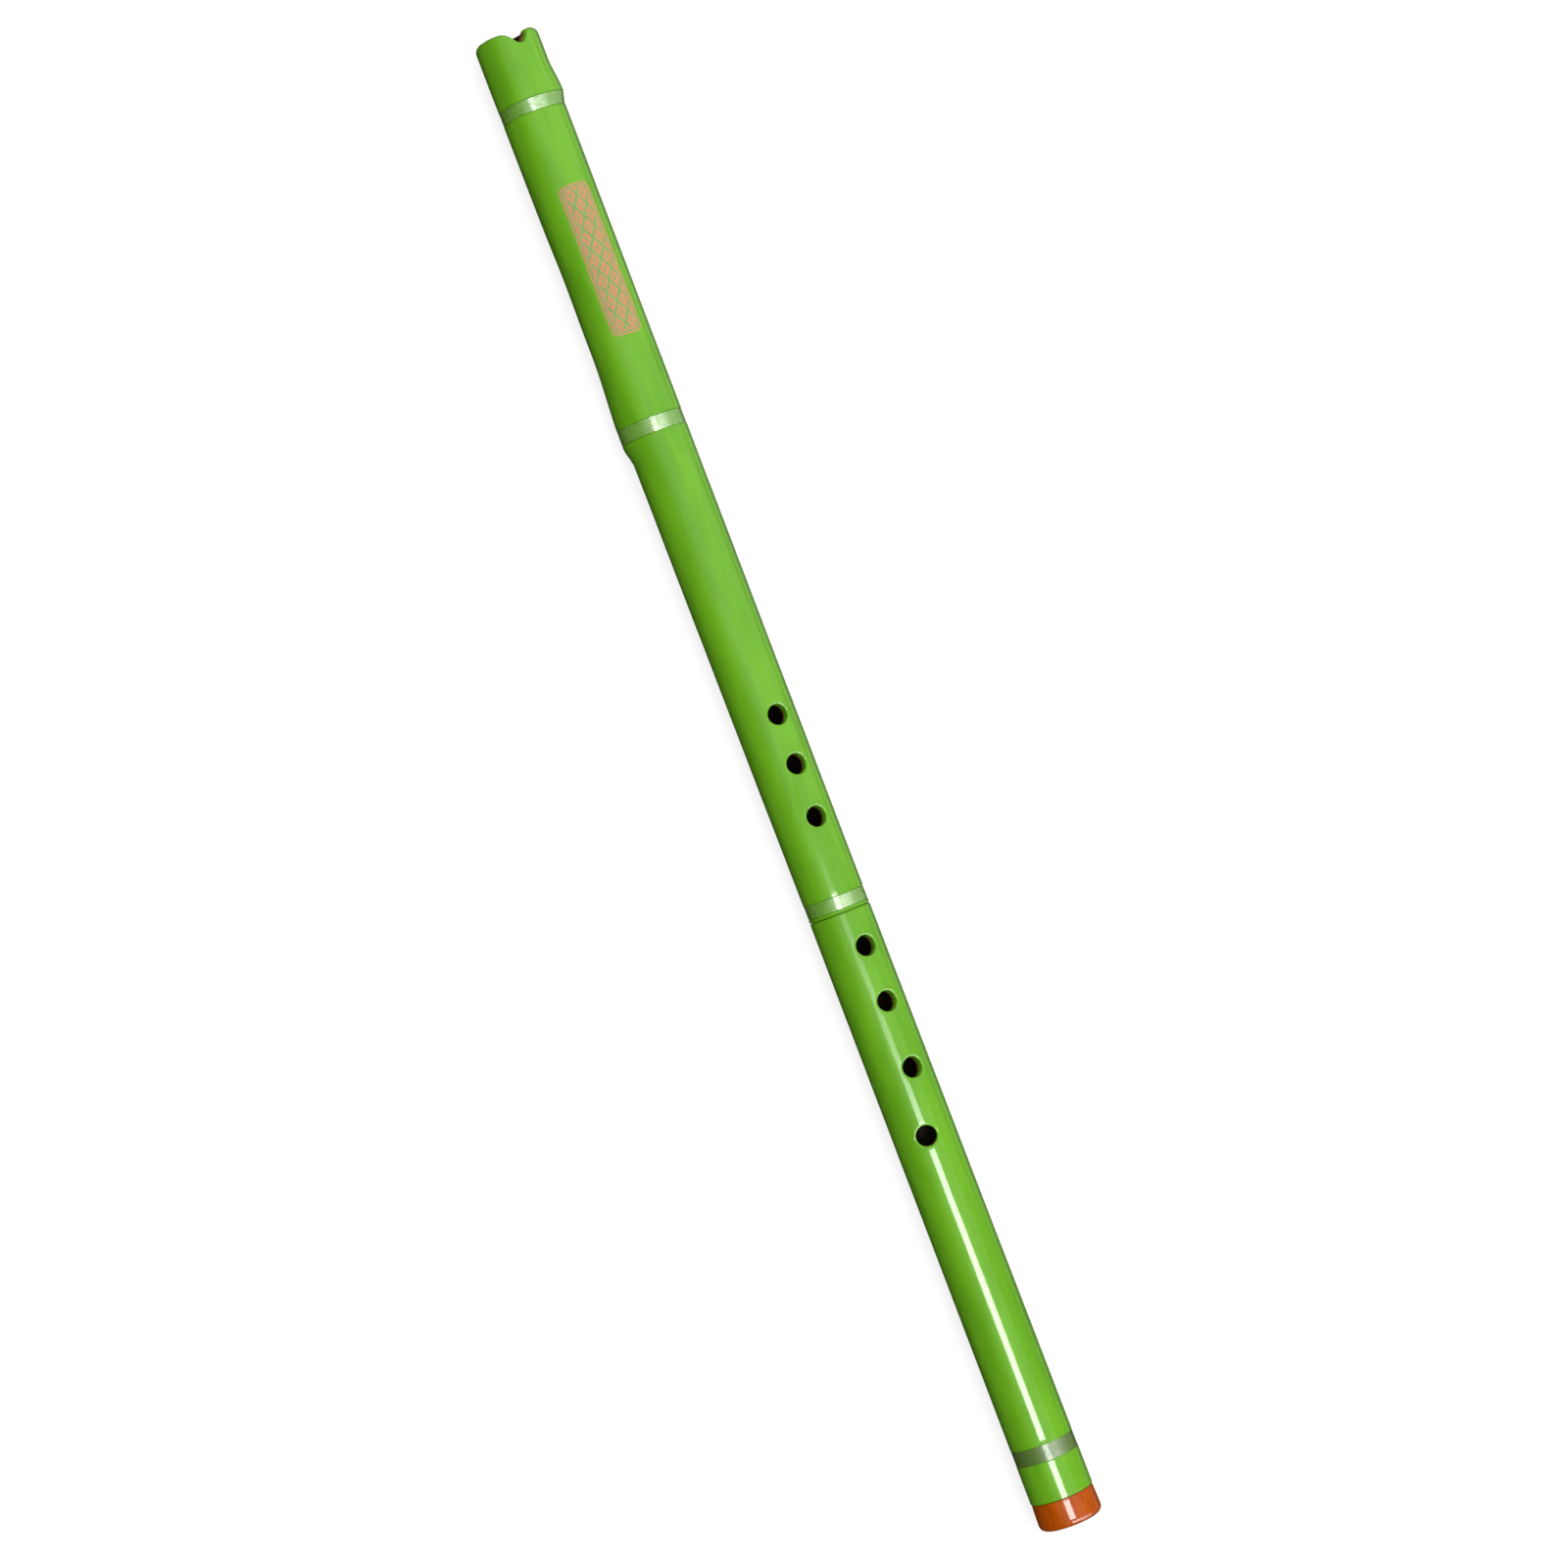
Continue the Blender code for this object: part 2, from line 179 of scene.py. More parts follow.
class Graph:
    """Builds the nodes of one shader or geometry tree."""

    def __init__(self, tree: bpy.types.NodeTree) -> None:
        """Takes the tree that the nodes go into."""
        self.tree = tree

    def add(
        self,
        kind: str,
        settings: dict[str, Any] | None = None,
        inputs: dict[str | int, Any] | None = None,
        output: str | int = 0,
    ) -> Signal:
        """Adds one node.

        Args:
            kind: The node's type.
            settings: Its own properties, and "stops" for a ramp's places and colours.
            inputs: The value or the signal of each socket that is set.
            output: The output that the signal reads.

        Returns:
            That output, or the first input of a node that has none.
        """
        node = self.tree.nodes.new(kind)
        for name, value in (settings or {}).items():
            if name == "stops":
                self._set_stops(node.color_ramp, value)
            else:
                setattr(node, name, value)
        for name, value in (inputs or {}).items():
            if isinstance(value, Signal):
                self.tree.links.new(value.socket, node.inputs[name])
            else:
                node.inputs[name].default_value = value
        return Signal(self, node.outputs[output] if node.outputs else node.inputs[0])

    @staticmethod
    def _set_stops(ramp: bpy.types.ColorRamp, stops: Sequence[tuple[float, Colour]]) -> None:
        """Gives a ramp its stops.

        Args:
            ramp: The ramp.
            stops: Each stop's place and colour.
        """
        while len(ramp.elements) < len(stops):
            ramp.elements.new(1.0)
        for element, (place, colour) in zip(ramp.elements, stops, strict=True):
            element.position = place
            element.color = (*colour, 1.0)

    def maths(self, operation: str, *values: Signal | float) -> Signal:
        """One Math node on one or two values."""
        return self.add("ShaderNodeMath", {"operation": operation}, dict(enumerate(values)))

    def axes(self, vector: Signal) -> list[Signal]:
        """A vector's X, Y and Z."""
        split = self.add("ShaderNodeSeparateXYZ", None, {"Vector": vector})
        return [split.part(axis) for axis in "XYZ"]

    def object_axes(self) -> list[Signal]:
        """The X, Y and Z of a material's point in its piece's own coordinates."""
        return self.axes(self.add("ShaderNodeTexCoord", output="Object"))

    def attribute(self, name: str) -> Signal:
        """A number that the mesh keeps at each of its points."""
        return self.add("ShaderNodeAttribute", {"attribute_name": name}, output="Fac")

    def vector(self, x: Signal | float, y: Signal | float, z: Signal | float) -> Signal:
        """A vector of three values."""
        return self.add("ShaderNodeCombineXYZ", None, {"X": x, "Y": y, "Z": z})

    def noise(self, vector: Signal, detail: float = 2.0, seed: Signal | float = 0.0) -> Signal:
        """Smooth noise at a vector that is already scaled.

        Args:
            vector: Where the noise is read.
            detail: How many finer layers it has.
            seed: The slice of the noise that is used.

        Returns:
            The noise, from 0 to 1, with its middle at about a half.
        """
        return self.add(
            "ShaderNodeTexNoise",
            {"noise_dimensions": "4D"},
            {"Vector": vector, "W": seed, "Scale": 1.0, "Detail": detail, "Roughness": 0.55},
        )

    def blend(
        self, share: Signal | float, first: Signal | Colour, second: Signal | Colour
    ) -> Signal:
        """The first colour turning into the second as the share goes from 0 to 1.

        Args:
            share: How much of the second colour there is.
            first: The first colour.
            second: The second colour.

        Returns:
            The colour between them.
        """
        ends = [colour if isinstance(colour, Signal) else (*colour, 1.0) for colour in (first, second)]
        return self.add(
            "ShaderNodeMix", {"data_type": "RGBA"}, {0: share, 6: ends[0], 7: ends[1]}, 2
        )

    def tint(self, colour: Signal | Colour, strength: Signal) -> Signal:
        """A colour made lighter or darker by a strength round 1.

        Args:
            colour: The colour.
            strength: What it is multiplied by.

        Returns:
            The new colour.
        """
        return self.add(
            "ShaderNodeVectorMath", {"operation": "SCALE"}, {0: colour, "Scale": strength}
        )

    def bump(self, height: Signal, depth: float) -> Signal:
        """The normal that a height from 0 to 1 gives, at a real depth.

        Args:
            height: The height.
            depth: What a height of 1 stands for, in metres.

        Returns:
            The normal.
        """
        return self.add(
            "ShaderNodeBump", None, {"Height": height, "Strength": 1.0, "Distance": depth}
        )


@dataclass(frozen=True)
class Surface:
    """Where a point lies on the flute, read from Object coordinates in a material."""

    graph: Graph
    flute: "Flute"
    x: Signal
    y: Signal
    z: Signal
    radius: Signal
    turn: Signal

    @classmethod
    def of(cls, graph: Graph, flute: "Flute") -> "Surface":
        """Adds the nodes that give each point its radius and its turn about the flute's axis.

        Args:
            graph: The material's nodes.
            flute: The flute's lines.

        Returns:
            The point's coordinates from the axis, its radius and its turn.
        """
        x, y, height = graph.object_axes()
        z = height - flute.axis_height
        radius = (y * y + z * z) ** 0.5
        return cls(graph, flute, x, y, z, radius, graph.maths("ARCTAN2", y, z))

    def past_bore(self, low: float, high: float) -> Signal:
        """A smooth step between two depths of the wall, measured from the bore."""
        return self.radius.ease(self.flute.bore + low, self.flute.bore + high)

    def grain(self, along: float, across: float, detail: float = 2.0, seed: float = 0.0) -> Signal:
        """Noise drawn out along the flute.

        Args:
            along: The length of its features down the flute.
            across: Their width.
            detail: How many finer layers it has.
            seed: The slice of the noise that is used.

        Returns:
            The noise, from 0 to 1.
        """
        width = 1 / across
        place = self.graph.vector(self.x * (1 / along), self.y * width, self.z * width)
        return self.graph.noise(place, detail, seed)


class Shader:
    """A new material with an empty graph."""

    def __init__(self, name: str) -> None:
        """Starts the material.

        Args:
            name: Its name.
        """
        self.material = bpy.data.materials.new(name)
        self.material.use_nodes = True
        self.material.node_tree.nodes.clear()
        self.graph = Graph(self.material.node_tree)

    def principled(self, inputs: dict[str | int, Any]) -> bpy.types.Material:
        """Ends the material in a Principled shader with these inputs."""
        return self.close(self.graph.add("ShaderNodeBsdfPrincipled", None, inputs))

    def close(self, shader: Signal) -> bpy.types.Material:
        """Joins a shader to the material's output."""
        self.graph.add("ShaderNodeOutputMaterial", None, {"Surface": shader})
        return self.material


@dataclass(frozen=True)
class Flute:
    """The lines that every piece of the flute shares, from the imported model."""

    mouth_x: float
    seam_x: float
    shoulder_x: float
    foot_x: float
    axis_height: float
    bore: float = 0.0088
    mouth: float = 0.01455
    joint: float = 0.0140
    foot: float = 0.01445
    finger_radius: float = 0.0046
    seam_chamfer: float = 0.0004
    fit_gap: float = 0.0003

    @classmethod
    def from_frame(cls) -> "Flute":
        """Reads the ends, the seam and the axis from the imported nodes' boxes.

        Returns:
            The flute's lines.
        """
        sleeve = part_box("tenon_sleeve")
        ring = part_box("foot_ring")
        return cls(
            mouth_x=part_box("upper_tube")[0].x,
            seam_x=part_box("socket_liner")[1].x,
            shoulder_x=ring[0].x - cls.fit_gap,
            foot_x=ring[1].x,
            axis_height=(sleeve[0].z + sleeve[1].z) / 2,
        )

    @property
    def seam(self) -> float:
        """The seam's distance from the mouth."""
        return self.seam_x - self.mouth_x

    @property
    def shoulder(self) -> float:
        """The distance at which the tube ends against the foot ring."""
        return self.shoulder_x - self.mouth_x

    @property
    def length(self) -> float:
        """The whole flute's length."""
        return self.foot_x - self.mouth_x

    def outside(self, distance: float) -> float:
        """The tube's outer radius, which narrows to the joint and widens again to the foot.

        Args:
            distance: The distance from the mouth.

        Returns:
            The radius there.
        """
        if distance <= self.seam:
            return mixed(self.mouth, self.joint, distance / self.seam)
        return mixed(self.joint, self.foot, (distance - self.seam) / (self.shoulder - self.seam))

    def place(self, distance: float, radius: float, turn: float) -> Place:
        """A point from its distance, its radius and its turn."""
        height = self.axis_height + radius * math.cos(turn)
        return self.mouth_x + distance, radius * math.sin(turn), height


class Mould:
    """Collects the points and faces of one mesh, with how much lacquer covers each point."""

    LACQUER = "lacquer"

    def __init__(self) -> None:
        """Starts with no points and no faces."""
        self.points: list[Place] = []
        self.lacquer: list[float] = []
        self.faces: list[tuple[int, ...]] = []

    def point(self, place: Place, lacquer: float = 1.0) -> int:
        """Adds a point and returns its number.

        Args:
            place: Where it lies.
            lacquer: How much lacquer covers it, from 0 to 1.

        Returns:
            Its number.
        """
        self.points.append(place)
        self.lacquer.append(lacquer)
        return len(self.points) - 1

    def band(self, first: Sequence[int], second: Sequence[int], gaps: Iterable[int] = ()) -> None:
        """Joins two closed rings of as many points with quads.

        Args:
            first: The numbers of one ring's points.
            second: The numbers of the other ring's points.
            gaps: The quads that are left out, by the number of the point that they start at.
        """
        left_out = set(gaps)
        count = len(first)
        for i in range(count):
            if i not in left_out:
                after = (i + 1) % count
                self.faces.append((first[i], first[after], second[after], second[i]))

    def make(self, name: str, material: bpy.types.Material, sharp: float = 35.0) -> bpy.types.Object:
        """Makes the object.

        Args:
            name: The piece's name.
            material: Its finish.
            sharp: Edges that turn by more than this many degrees stay sharp.

        Returns:
            The object, at the origin and linked to the scene.
        """
        mesh = bpy.data.meshes.new(name)
        mesh.from_pydata(self.points, [], self.faces)
        mesh.attributes.new(self.LACQUER, "FLOAT", "POINT").data.foreach_set("value", self.lacquer)
        bm = bmesh.new()
        bm.from_mesh(mesh)
        bmesh.ops.recalc_face_normals(bm, faces=bm.faces)
        bm.to_mesh(mesh)
        bm.free()
        mesh.materials.append(material)
        mesh.shade_smooth()
        mesh.set_sharp_from_angle(angle=math.radians(sharp))
        return link_mesh(name, mesh)


def link_mesh(name: str, mesh: bpy.types.Mesh) -> bpy.types.Object:
    """An object at the origin that shows a mesh.

    Args:
        name: The object's name.
        mesh: The mesh.

    Returns:
        The object, linked to the scene.
    """
    obj = bpy.data.objects.new(name, mesh)
    bpy.context.scene.collection.objects.link(obj)
    return obj


class Formula:
    """A geometry node tree with named inputs, which shapes one piece and is then applied."""

    KINDS = {"Geometry": "NodeSocketGeometry", "Finish": "NodeSocketMaterial"}

    def __init__(self, name: str, sizes: Iterable[str]) -> None:
        """Starts the tree with its sockets.

        Args:
            name: Its name.
            sizes: The names of its inputs, besides the geometry and the finish.
        """
        self.tree = bpy.data.node_groups.new(name, "GeometryNodeTree")
        interface = self.tree.interface
        for size in ("Geometry", "Finish", *sizes):
            kind = self.KINDS.get(size, "NodeSocketFloat")
            interface.new_socket(size, in_out="INPUT", socket_type=kind)
        interface.new_socket("Geometry", in_out="OUTPUT", socket_type="NodeSocketGeometry")
        self.graph = Graph(self.tree)
        self.given = self.graph.add("NodeGroupInput", output="Geometry")

    def size(self, name: str) -> Signal:
        """One of the tree's named inputs."""
        return self.given.part(name)

    def around(self, axis_height: Signal) -> tuple[Signal, Signal, Signal, Signal]:
        """Adds the nodes that read each point's place about the flute's axis.

        Args:
            axis_height: The axis's height above the floor.

        Returns:
            The point's X, radius and turn, and the direction that leads away from the axis.
        """
        x, y, height = self.graph.axes(self.graph.add("GeometryNodeInputPosition"))
        z = height - axis_height
        radius = ((y * y + z * z) ** 0.5).at_least(1e-6)
        outwards = self.graph.vector(0.0, y / radius, z / radius)
        return x, radius, self.graph.maths("ARCTAN2", y, z), outwards

    def move(self, geometry: Signal, direction: Signal, amount: Signal) -> Signal:
        """Moves each point of a geometry by an amount in its direction.

        Args:
            geometry: The geometry.
            direction: The direction at each point.
            amount: How far each point goes.

        Returns:
            The moved geometry.
        """
        offset = self.graph.tint(direction, amount)
        return self.graph.add(
            "GeometryNodeSetPosition", None, {"Geometry": geometry, "Offset": offset}
        )

    def close(self, geometry: Signal) -> None:
        """Ends the tree in Realize Instances and Set Material.

        Args:
            geometry: What the tree has made.
        """
        real = self.graph.add("GeometryNodeRealizeInstances", None, {"Geometry": geometry})
        finished = self.graph.add(
            "GeometryNodeSetMaterial", None, {"Geometry": real, "Material": self.size("Finish")}
        )
        self.graph.add("NodeGroupOutput", None, {"Geometry": finished})

    def put_on(self, obj: bpy.types.Object, sizes: dict[str, Any]) -> None:
        """Adds the tree to an object as a modifier, with its inputs set.

        Args:
            obj: The object.
            sizes: The value of each input, by its name.
        """
        modifier = obj.modifiers.new(self.tree.name, "NODES")
        modifier.node_group = self.tree
        for item in self.tree.interface.items_tree:
            if item.in_out == "INPUT" and item.name in sizes:
                modifier[item.identifier] = sizes[item.name]


def settle(obj: bpy.types.Object) -> None:
    """Turns what an object's modifiers make into its plain mesh.

    Args:
        obj: The object.
    """
    shown = obj.evaluated_get(bpy.context.evaluated_depsgraph_get())
    mesh = bpy.data.meshes.new_from_object(shown)
    obj.modifiers.clear()
    mesh.name = obj.name
    obj.data = mesh


@dataclass(frozen=True)
class Swelling:
    """A one-sided swelling or hollow of the bamboo, greatest at peak and on the side that turn names."""

    name: str
    peak: float
    height: float
    before: float
    after: float
    turn: float

    def lift(self, height: Signal, distance: Signal, turn: Signal) -> Signal:
        """Adds the nodes of its lift.

        Args:
            height: Its greatest height.
            distance: The point's distance from the mouth.
            turn: The point's turn about the axis.

        Returns:
            How far the surface stands out.
        """
        offset = distance - self.peak
        share = 1 - (offset * (-1 / self.before)).at_least(offset * (1 / self.after))
        crest = 0.5 - 0.5 * (share.at_least(0.0) * math.pi).cosine()
        facing = (turn - self.turn).cosine().at_least(0.0)
        return crest * facing**3 * height


@dataclass(frozen=True)
class BambooForm:
    """The uneven shape that the cane gives the lathe-true tubes and what is wound on them."""

    swellings: tuple[Swelling, ...] = (
        Swelling("Mouth Swelling", 0.0304, 0.0013, 0.0150, 0.0070, math.radians(64)),
        Swelling("Node Swelling", 0.1876, 0.0018, 0.0430, 0.0095, math.radians(-116)),
        Swelling("Hollow", 0.1090, -0.0003, 0.0300, 0.0300, math.radians(-116)),
    )
    waviness: float = 0.00022
    wave_length: float = 0.0450
    wave_width: float = 0.0160
    seed: float = 4.0
    still_under: float = 0.0098
    free_above: float = 0.0120

    def formula(self) -> Formula:
        """Builds the tree that moves each point out or in.

        Returns:
            The tree.
        """
        names = [swelling.name for swelling in self.swellings]
        made = Formula("bamboo_form", ["Axis Height", "Mouth X", "Waviness", "Seed", *names])
        graph = made.graph
        x, radius, turn, outwards = made.around(made.size("Axis Height"))
        distance = x - made.size("Mouth X")
        across = 1 / self.wave_width
        _, y, z = graph.axes(graph.add("GeometryNodeInputPosition"))
        place = graph.vector(distance * (1 / self.wave_length), y * across, z * across)
        total = (graph.noise(place, 1.0, made.size("Seed")) - 0.5) * made.size("Waviness")
        for swelling in self.swellings:
            total = total + swelling.lift(made.size(swelling.name), distance, turn)
        free = radius.ease(self.still_under, self.free_above)
        made.close(made.move(made.given, outwards, total * free))
        return made

    def sizes(self, flute: Flute, finish: bpy.types.Material) -> dict[str, Any]:
        """The values of the tree's inputs.

        Args:
            flute: The flute's lines.
            finish: The piece's finish.

        Returns:
            Each value, by its name.
        """
        heights = {swelling.name: swelling.height for swelling in self.swellings}
        return {
            "Finish": finish,
            "Axis Height": flute.axis_height,
            "Mouth X": flute.mouth_x,
            "Waviness": self.waviness,
            "Seed": self.seed,
            **heights,
        }


class Finish(ABC):
    """A finish, whose colours are its fields and whose pattern follows the flute."""

    @abstractmethod
    def sockets(self, surface: Surface) -> dict[str | int, Any]:
        """Adds the nodes of the pattern.

        Args:
            surface: Where the material's points lie.

        Returns:
            The value or the signal of each socket of the Principled shader.
        """

    def make(self, name: str, flute: Flute) -> bpy.types.Material:
        """Builds the material.

        Args:
            name: The material's name.
            flute: The flute's lines.

        Returns:
            The material, which every piece of this finish shares.
        """
        made = Shader(name)
        return made.principled(self.sockets(Surface.of(made.graph, flute)))


@dataclass(frozen=True)
class Label:
    """The painted panel below the mouth: a bordered trellis of lozenges, with no words on it."""

    middle: float = 0.1079
    length: float = 0.0700
    width: float = 0.0151
    turn: float = math.radians(-6.2)
    corner: float = 0.0035
    pitch_along: float = 0.0100
    pitch_across: float = 0.0060
    line: float = 0.10

    def masks(self, surface: Surface) -> tuple[Signal, Signal]:
        """Adds the nodes of its two masks.

        Args:
            surface: Where the material's points lie.

        Returns:
            Where the panel is, and where its green drawing is.
        """
        along = surface.x - (surface.flute.mouth_x + self.middle)
        across = (surface.turn - self.turn) * surface.flute.outside(self.middle)
        wobble = (surface.grain(0.004, 0.004, 2.0, 21.0) - 0.5) * 0.0012
        outside = self._past_edge(along, across) + wobble
        panel = outside.ease(0.00018, -0.00018)
        rise, lean = along * (1 / self.pitch_along), across * (1 / self.pitch_across)
        first = abs((rise + lean).fraction() - 0.5)
        second = abs((rise - lean).fraction() - 0.5)
        shake = (surface.grain(0.0025, 0.0025, 2.0, 33.0) - 0.5) * 0.16
        weave = first.at_least(second) + shake
        trellis = weave.ease(0.5 - self.line - 0.03, 0.5 - self.line + 0.03)
        lozenge = (first + second + shake).ease(0.17, 0.11)
        inset = (outside + 0.0022).ease(0.0002, -0.0002)
        frame_line = abs(outside + 0.0011).ease(0.00042, 0.00026)
        return panel, (trellis.at_least(lozenge) * inset).at_least(frame_line)

    def _past_edge(self, along: Signal, across: Signal) -> Signal:
        """How far a point lies outside the panel's rounded outline, below 0 within it.

        Args:
            along: Its offset from the panel's middle along the flute.
            across: Its offset round it.

        Returns:
            The distance.
        """
        out_along = abs(along) - (self.length / 2 - self.corner)
        out_across = abs(across) - (self.width / 2 - self.corner)
        beyond_along = out_along.at_least(0.0)
        beyond_across = out_across.at_least(0.0)
        beyond = (beyond_along * beyond_along + beyond_across * beyond_across) ** 0.5
        return beyond + out_along.at_least(out_across).at_most(0.0) - self.corner


@dataclass(frozen=True)
class GreenLacquer(Finish):
    """Glossy green lacquer over bamboo, with bare cane where no lacquer reaches, and painted shade that
    darkens the bore.
    """

    bright: Colour = (0.170, 0.485, 0.0145)
    deep: Colour = (0.143, 0.430, 0.0120)
    cane: Colour = (0.320, 0.125, 0.038)
    dark_cane: Colour = (0.120, 0.045, 0.015)
    # bore: a near-black painted shade for the depths of the bore, not the cane's own colour
    bore: Colour = (0.018, 0.009, 0.004)
    panel: Colour = (0.600, 0.300, 0.122)
    drawing: Colour = (0.210, 0.400, 0.110)
    label: Label = Label()

    def sockets(self, surface: Surface) -> dict[str | int, Any]:
        """Adds the nodes of the pattern.

        Args:
            surface: Where the material's points lie.

        Returns:
            The value or the signal of each socket of the Principled shader.
        """
        graph = surface.graph
        fibre = surface.grain(0.0260, 0.00055, 3.0, 2.0)
        mottle = surface.grain(0.0450, 0.0090, 2.0, 5.0)
        ragged = graph.attribute(Mould.LACQUER) + (surface.grain(0.0016, 0.0016, 3.0, 8.0) - 0.5) * 0.5
        painted = ragged.ease(0.44, 0.56)
        green = graph.blend(mottle.ease(0.38, 0.62), self.deep, self.bright)
        green = graph.tint(green, fibre * 0.16 + 0.92)
        panel, drawing = self.label.masks(surface)
        ground = graph.tint(self.panel, surface.grain(0.006, 0.002, 3.0, 12.0) * 0.22 + 0.89)
        ink = graph.tint(self.drawing, surface.grain(0.004, 0.002, 2.0, 14.0) * 0.5 + 0.75)
        green = graph.blend(panel, green, graph.blend(drawing, ground, ink))
        cane = graph.blend(fibre.ease(0.35, 0.65), self.dark_cane, self.cane)
        # Painted shade: near the bore the bare cane is coloured almost black, standing in for the dark
        # inside the tube.
        inside = surface.past_bore(0.0010, 0.0003)
        cane = graph.blend(inside, cane, graph.tint(self.bore, fibre * 0.8 + 0.6))
        pits = surface.grain(0.0012, 0.00030, 2.0, 17.0)
        sheen = 0.20 + 0.10 * mottle
        relief = fibre * 0.35 + surface.grain(0.0035, 0.0022, 1.0, 18.0) * 0.65
        relief = relief * painted + pits * (1 - painted)
        return {
            "Base Color": graph.blend(painted, cane, green),
            "Roughness": sheen * painted + 0.62 * (1 - painted),
            "Specular IOR Level": 0.10,
            "Coat Weight": painted,
            "Coat Roughness": 0.035,
            "Coat IOR": 1.40,
            "Normal": graph.bump(relief, 0.00003),
        }


@dataclass(frozen=True)
class LineLook:
    """The colours of a kind of line, lit on its crests and in painted shade low between its turns, its
    gloss, and how flat lacquer has made its turns.
    """

    light: Colour
    dark: Colour
    specular: float
    coat: float
    flatness: float


class LineTone(Enum):
    """The two kinds of line: clear over the green, or dulled by lacquer and dust."""

    CLEAR = LineLook((0.245, 0.545, 0.072), (0.150, 0.400, 0.026), 1.0, 1.0, 0.0)
    DULL = LineLook((0.140, 0.245, 0.048), (0.078, 0.132, 0.028), 0.5, 0.5, 0.6)


@dataclass(frozen=True)
class WoundLine(Finish):
    """Smooth line that lets some of the green below it through, with painted shade darkening it low
    between its turns.
    """

    tone: LineTone

    def sockets(self, surface: Surface) -> dict[str | int, Any]:
        """Adds the nodes of the pattern.

        Args:
            surface: Where the material's points lie.

        Returns:
            The value or the signal of each socket of the Principled shader.
        """
        graph = surface.graph
        crest = graph.attribute(Winding.CREST)
        look = self.tone.value
        clouds = surface.grain(0.0016, 0.0045, 3.0, 3.0)
        scuffs = surface.grain(0.0003, 0.0030, 2.0, 6.0)
        # Painted shade: the colour goes from light on the crests of the turns to dark where the line lies
        # low between and under them.
        colour = graph.blend(crest.ease(-0.35, 0.80), look.dark, look.light)
        colour = graph.tint(colour, clouds * 0.30 + 0.85)
        return {
            "Base Color": colour,
            "Roughness": 0.16 + 0.22 * scuffs,
            "Specular IOR Level": look.specular,
            "Coat Weight": look.coat,
            "Coat Roughness": 0.10,
            "Coat IOR": 2.20,
            "Normal": graph.bump(scuffs, 0.00001),
        }


@dataclass(frozen=True)
class AmberWood(Finish):
    """The foot ring: turned wood under glossy orange-brown lacquer, with painted shade darkening it where
    it lines the bore.
    """

    bright: Colour = (0.560, 0.102, 0.002)
    deep: Colour = (0.460, 0.072, 0.001)

    def sockets(self, surface: Surface) -> dict[str | int, Any]:
        """Adds the nodes of the pattern.

        Args:
            surface: Where the material's points lie.

        Returns:
            The value or the signal of each socket of the Principled shader.
        """
        graph = surface.graph
        streak = surface.grain(0.0140, 0.0011, 4.0, 1.0)
        cloud = surface.grain(0.0060, 0.0045, 2.0, 9.0)
        turned_marks = graph.vector(surface.x * 4200.0, surface.radius * 4200.0, 0.0)
        lathe = graph.noise(turned_marks, 1.0, 3.0)
        share = (streak * 0.7 + cloud * 0.3).ease(0.34, 0.62)
        colour = graph.tint(graph.blend(share, self.deep, self.bright), lathe * 0.12 + 0.94)
        # Painted shade: where the ring lines the bore its colour turns near black, unlacquered and
        # rougher, as the tube's bore is darkened.
        inside = surface.past_bore(0.0004, 0.0002)
        return {
            "Base Color": graph.blend(inside, colour, (0.045, 0.018, 0.008)),
            "Roughness": 0.22 + 0.12 * cloud + 0.3 * inside,
            "Specular IOR Level": 0.02,
            "Coat Weight": 1 - inside,
            "Coat Roughness": 0.045,
            "Coat IOR": 1.40,
            "Normal": graph.bump(lathe * 0.4 + cloud * 0.6, 0.00003),
        }


@dataclass(frozen=True)
class TurnedBrass(Finish):
    """Brass with fine lathe rings, dulled a little where the air reaches it."""

    bright: Colour = (0.780, 0.560, 0.230)
    dull: Colour = (0.430, 0.270, 0.100)

    def sockets(self, surface: Surface) -> dict[str | int, Any]:
        """Adds the nodes of the pattern.

        Args:
            surface: Where the material's points lie.

        Returns:
            The value or the signal of each socket of the Principled shader.
        """
        graph = surface.graph
        rings = graph.noise(graph.vector(surface.x * 7000.0, surface.turn * 1.5, 0.0), 2.0, 1.0)
        patina = surface.grain(0.0060, 0.0040, 4.0, 5.0).ease(0.50, 0.74)
        scratches = surface.grain(0.0120, 0.00020, 2.0, 8.0)
        return {
            "Base Color": graph.blend(patina, self.bright, self.dull),
            "Metallic": 1.0,
            "Roughness": 0.20 + 0.14 * rings + 0.20 * patina,
            "Normal": graph.bump(rings * 0.7 + scratches * 0.3, 0.000012),
        }


@dataclass(frozen=True)
class GreasedCork(Finish):
    """Cork sheet with its dark pores, polished a little by the socket."""

    light: Colour = (0.560, 0.360, 0.195)
    dark: Colour = (0.400, 0.225, 0.105)
    pore: Colour = (0.110, 0.050, 0.022)

    def sockets(self, surface: Surface) -> dict[str | int, Any]:
        """Adds the nodes of the pattern.

        Args:
            surface: Where the material's points lie.

        Returns:
            The value or the signal of each socket of the Principled shader.
        """
        graph = surface.graph
        cells = surface.grain(0.0014, 0.0014, 3.0, 2.0)
        specks = surface.grain(0.0009, 0.0005, 2.0, 7.0).ease(0.60, 0.68)
        colour = graph.blend(cells.ease(0.35, 0.65), self.dark, self.light)
        return {
            "Base Color": graph.blend(specks, colour, self.pore),
            "Roughness": 0.60 + 0.25 * cells,
            "Normal": graph.bump(cells * 0.5 - specks * 0.5, 0.00020),
        }


class Part(Enum):
    """Which part of a tube's profile a ring of points belongs to."""

    OUTSIDE = "outside"
    RIM = "rim"
    INSIDE = "inside"


@dataclass(frozen=True)
class Row:
    """One ring of points of a tube: its distance from the mouth, radius, lacquer and part."""

    distance: float
    radius: float
    lacquer: float
    part: Part


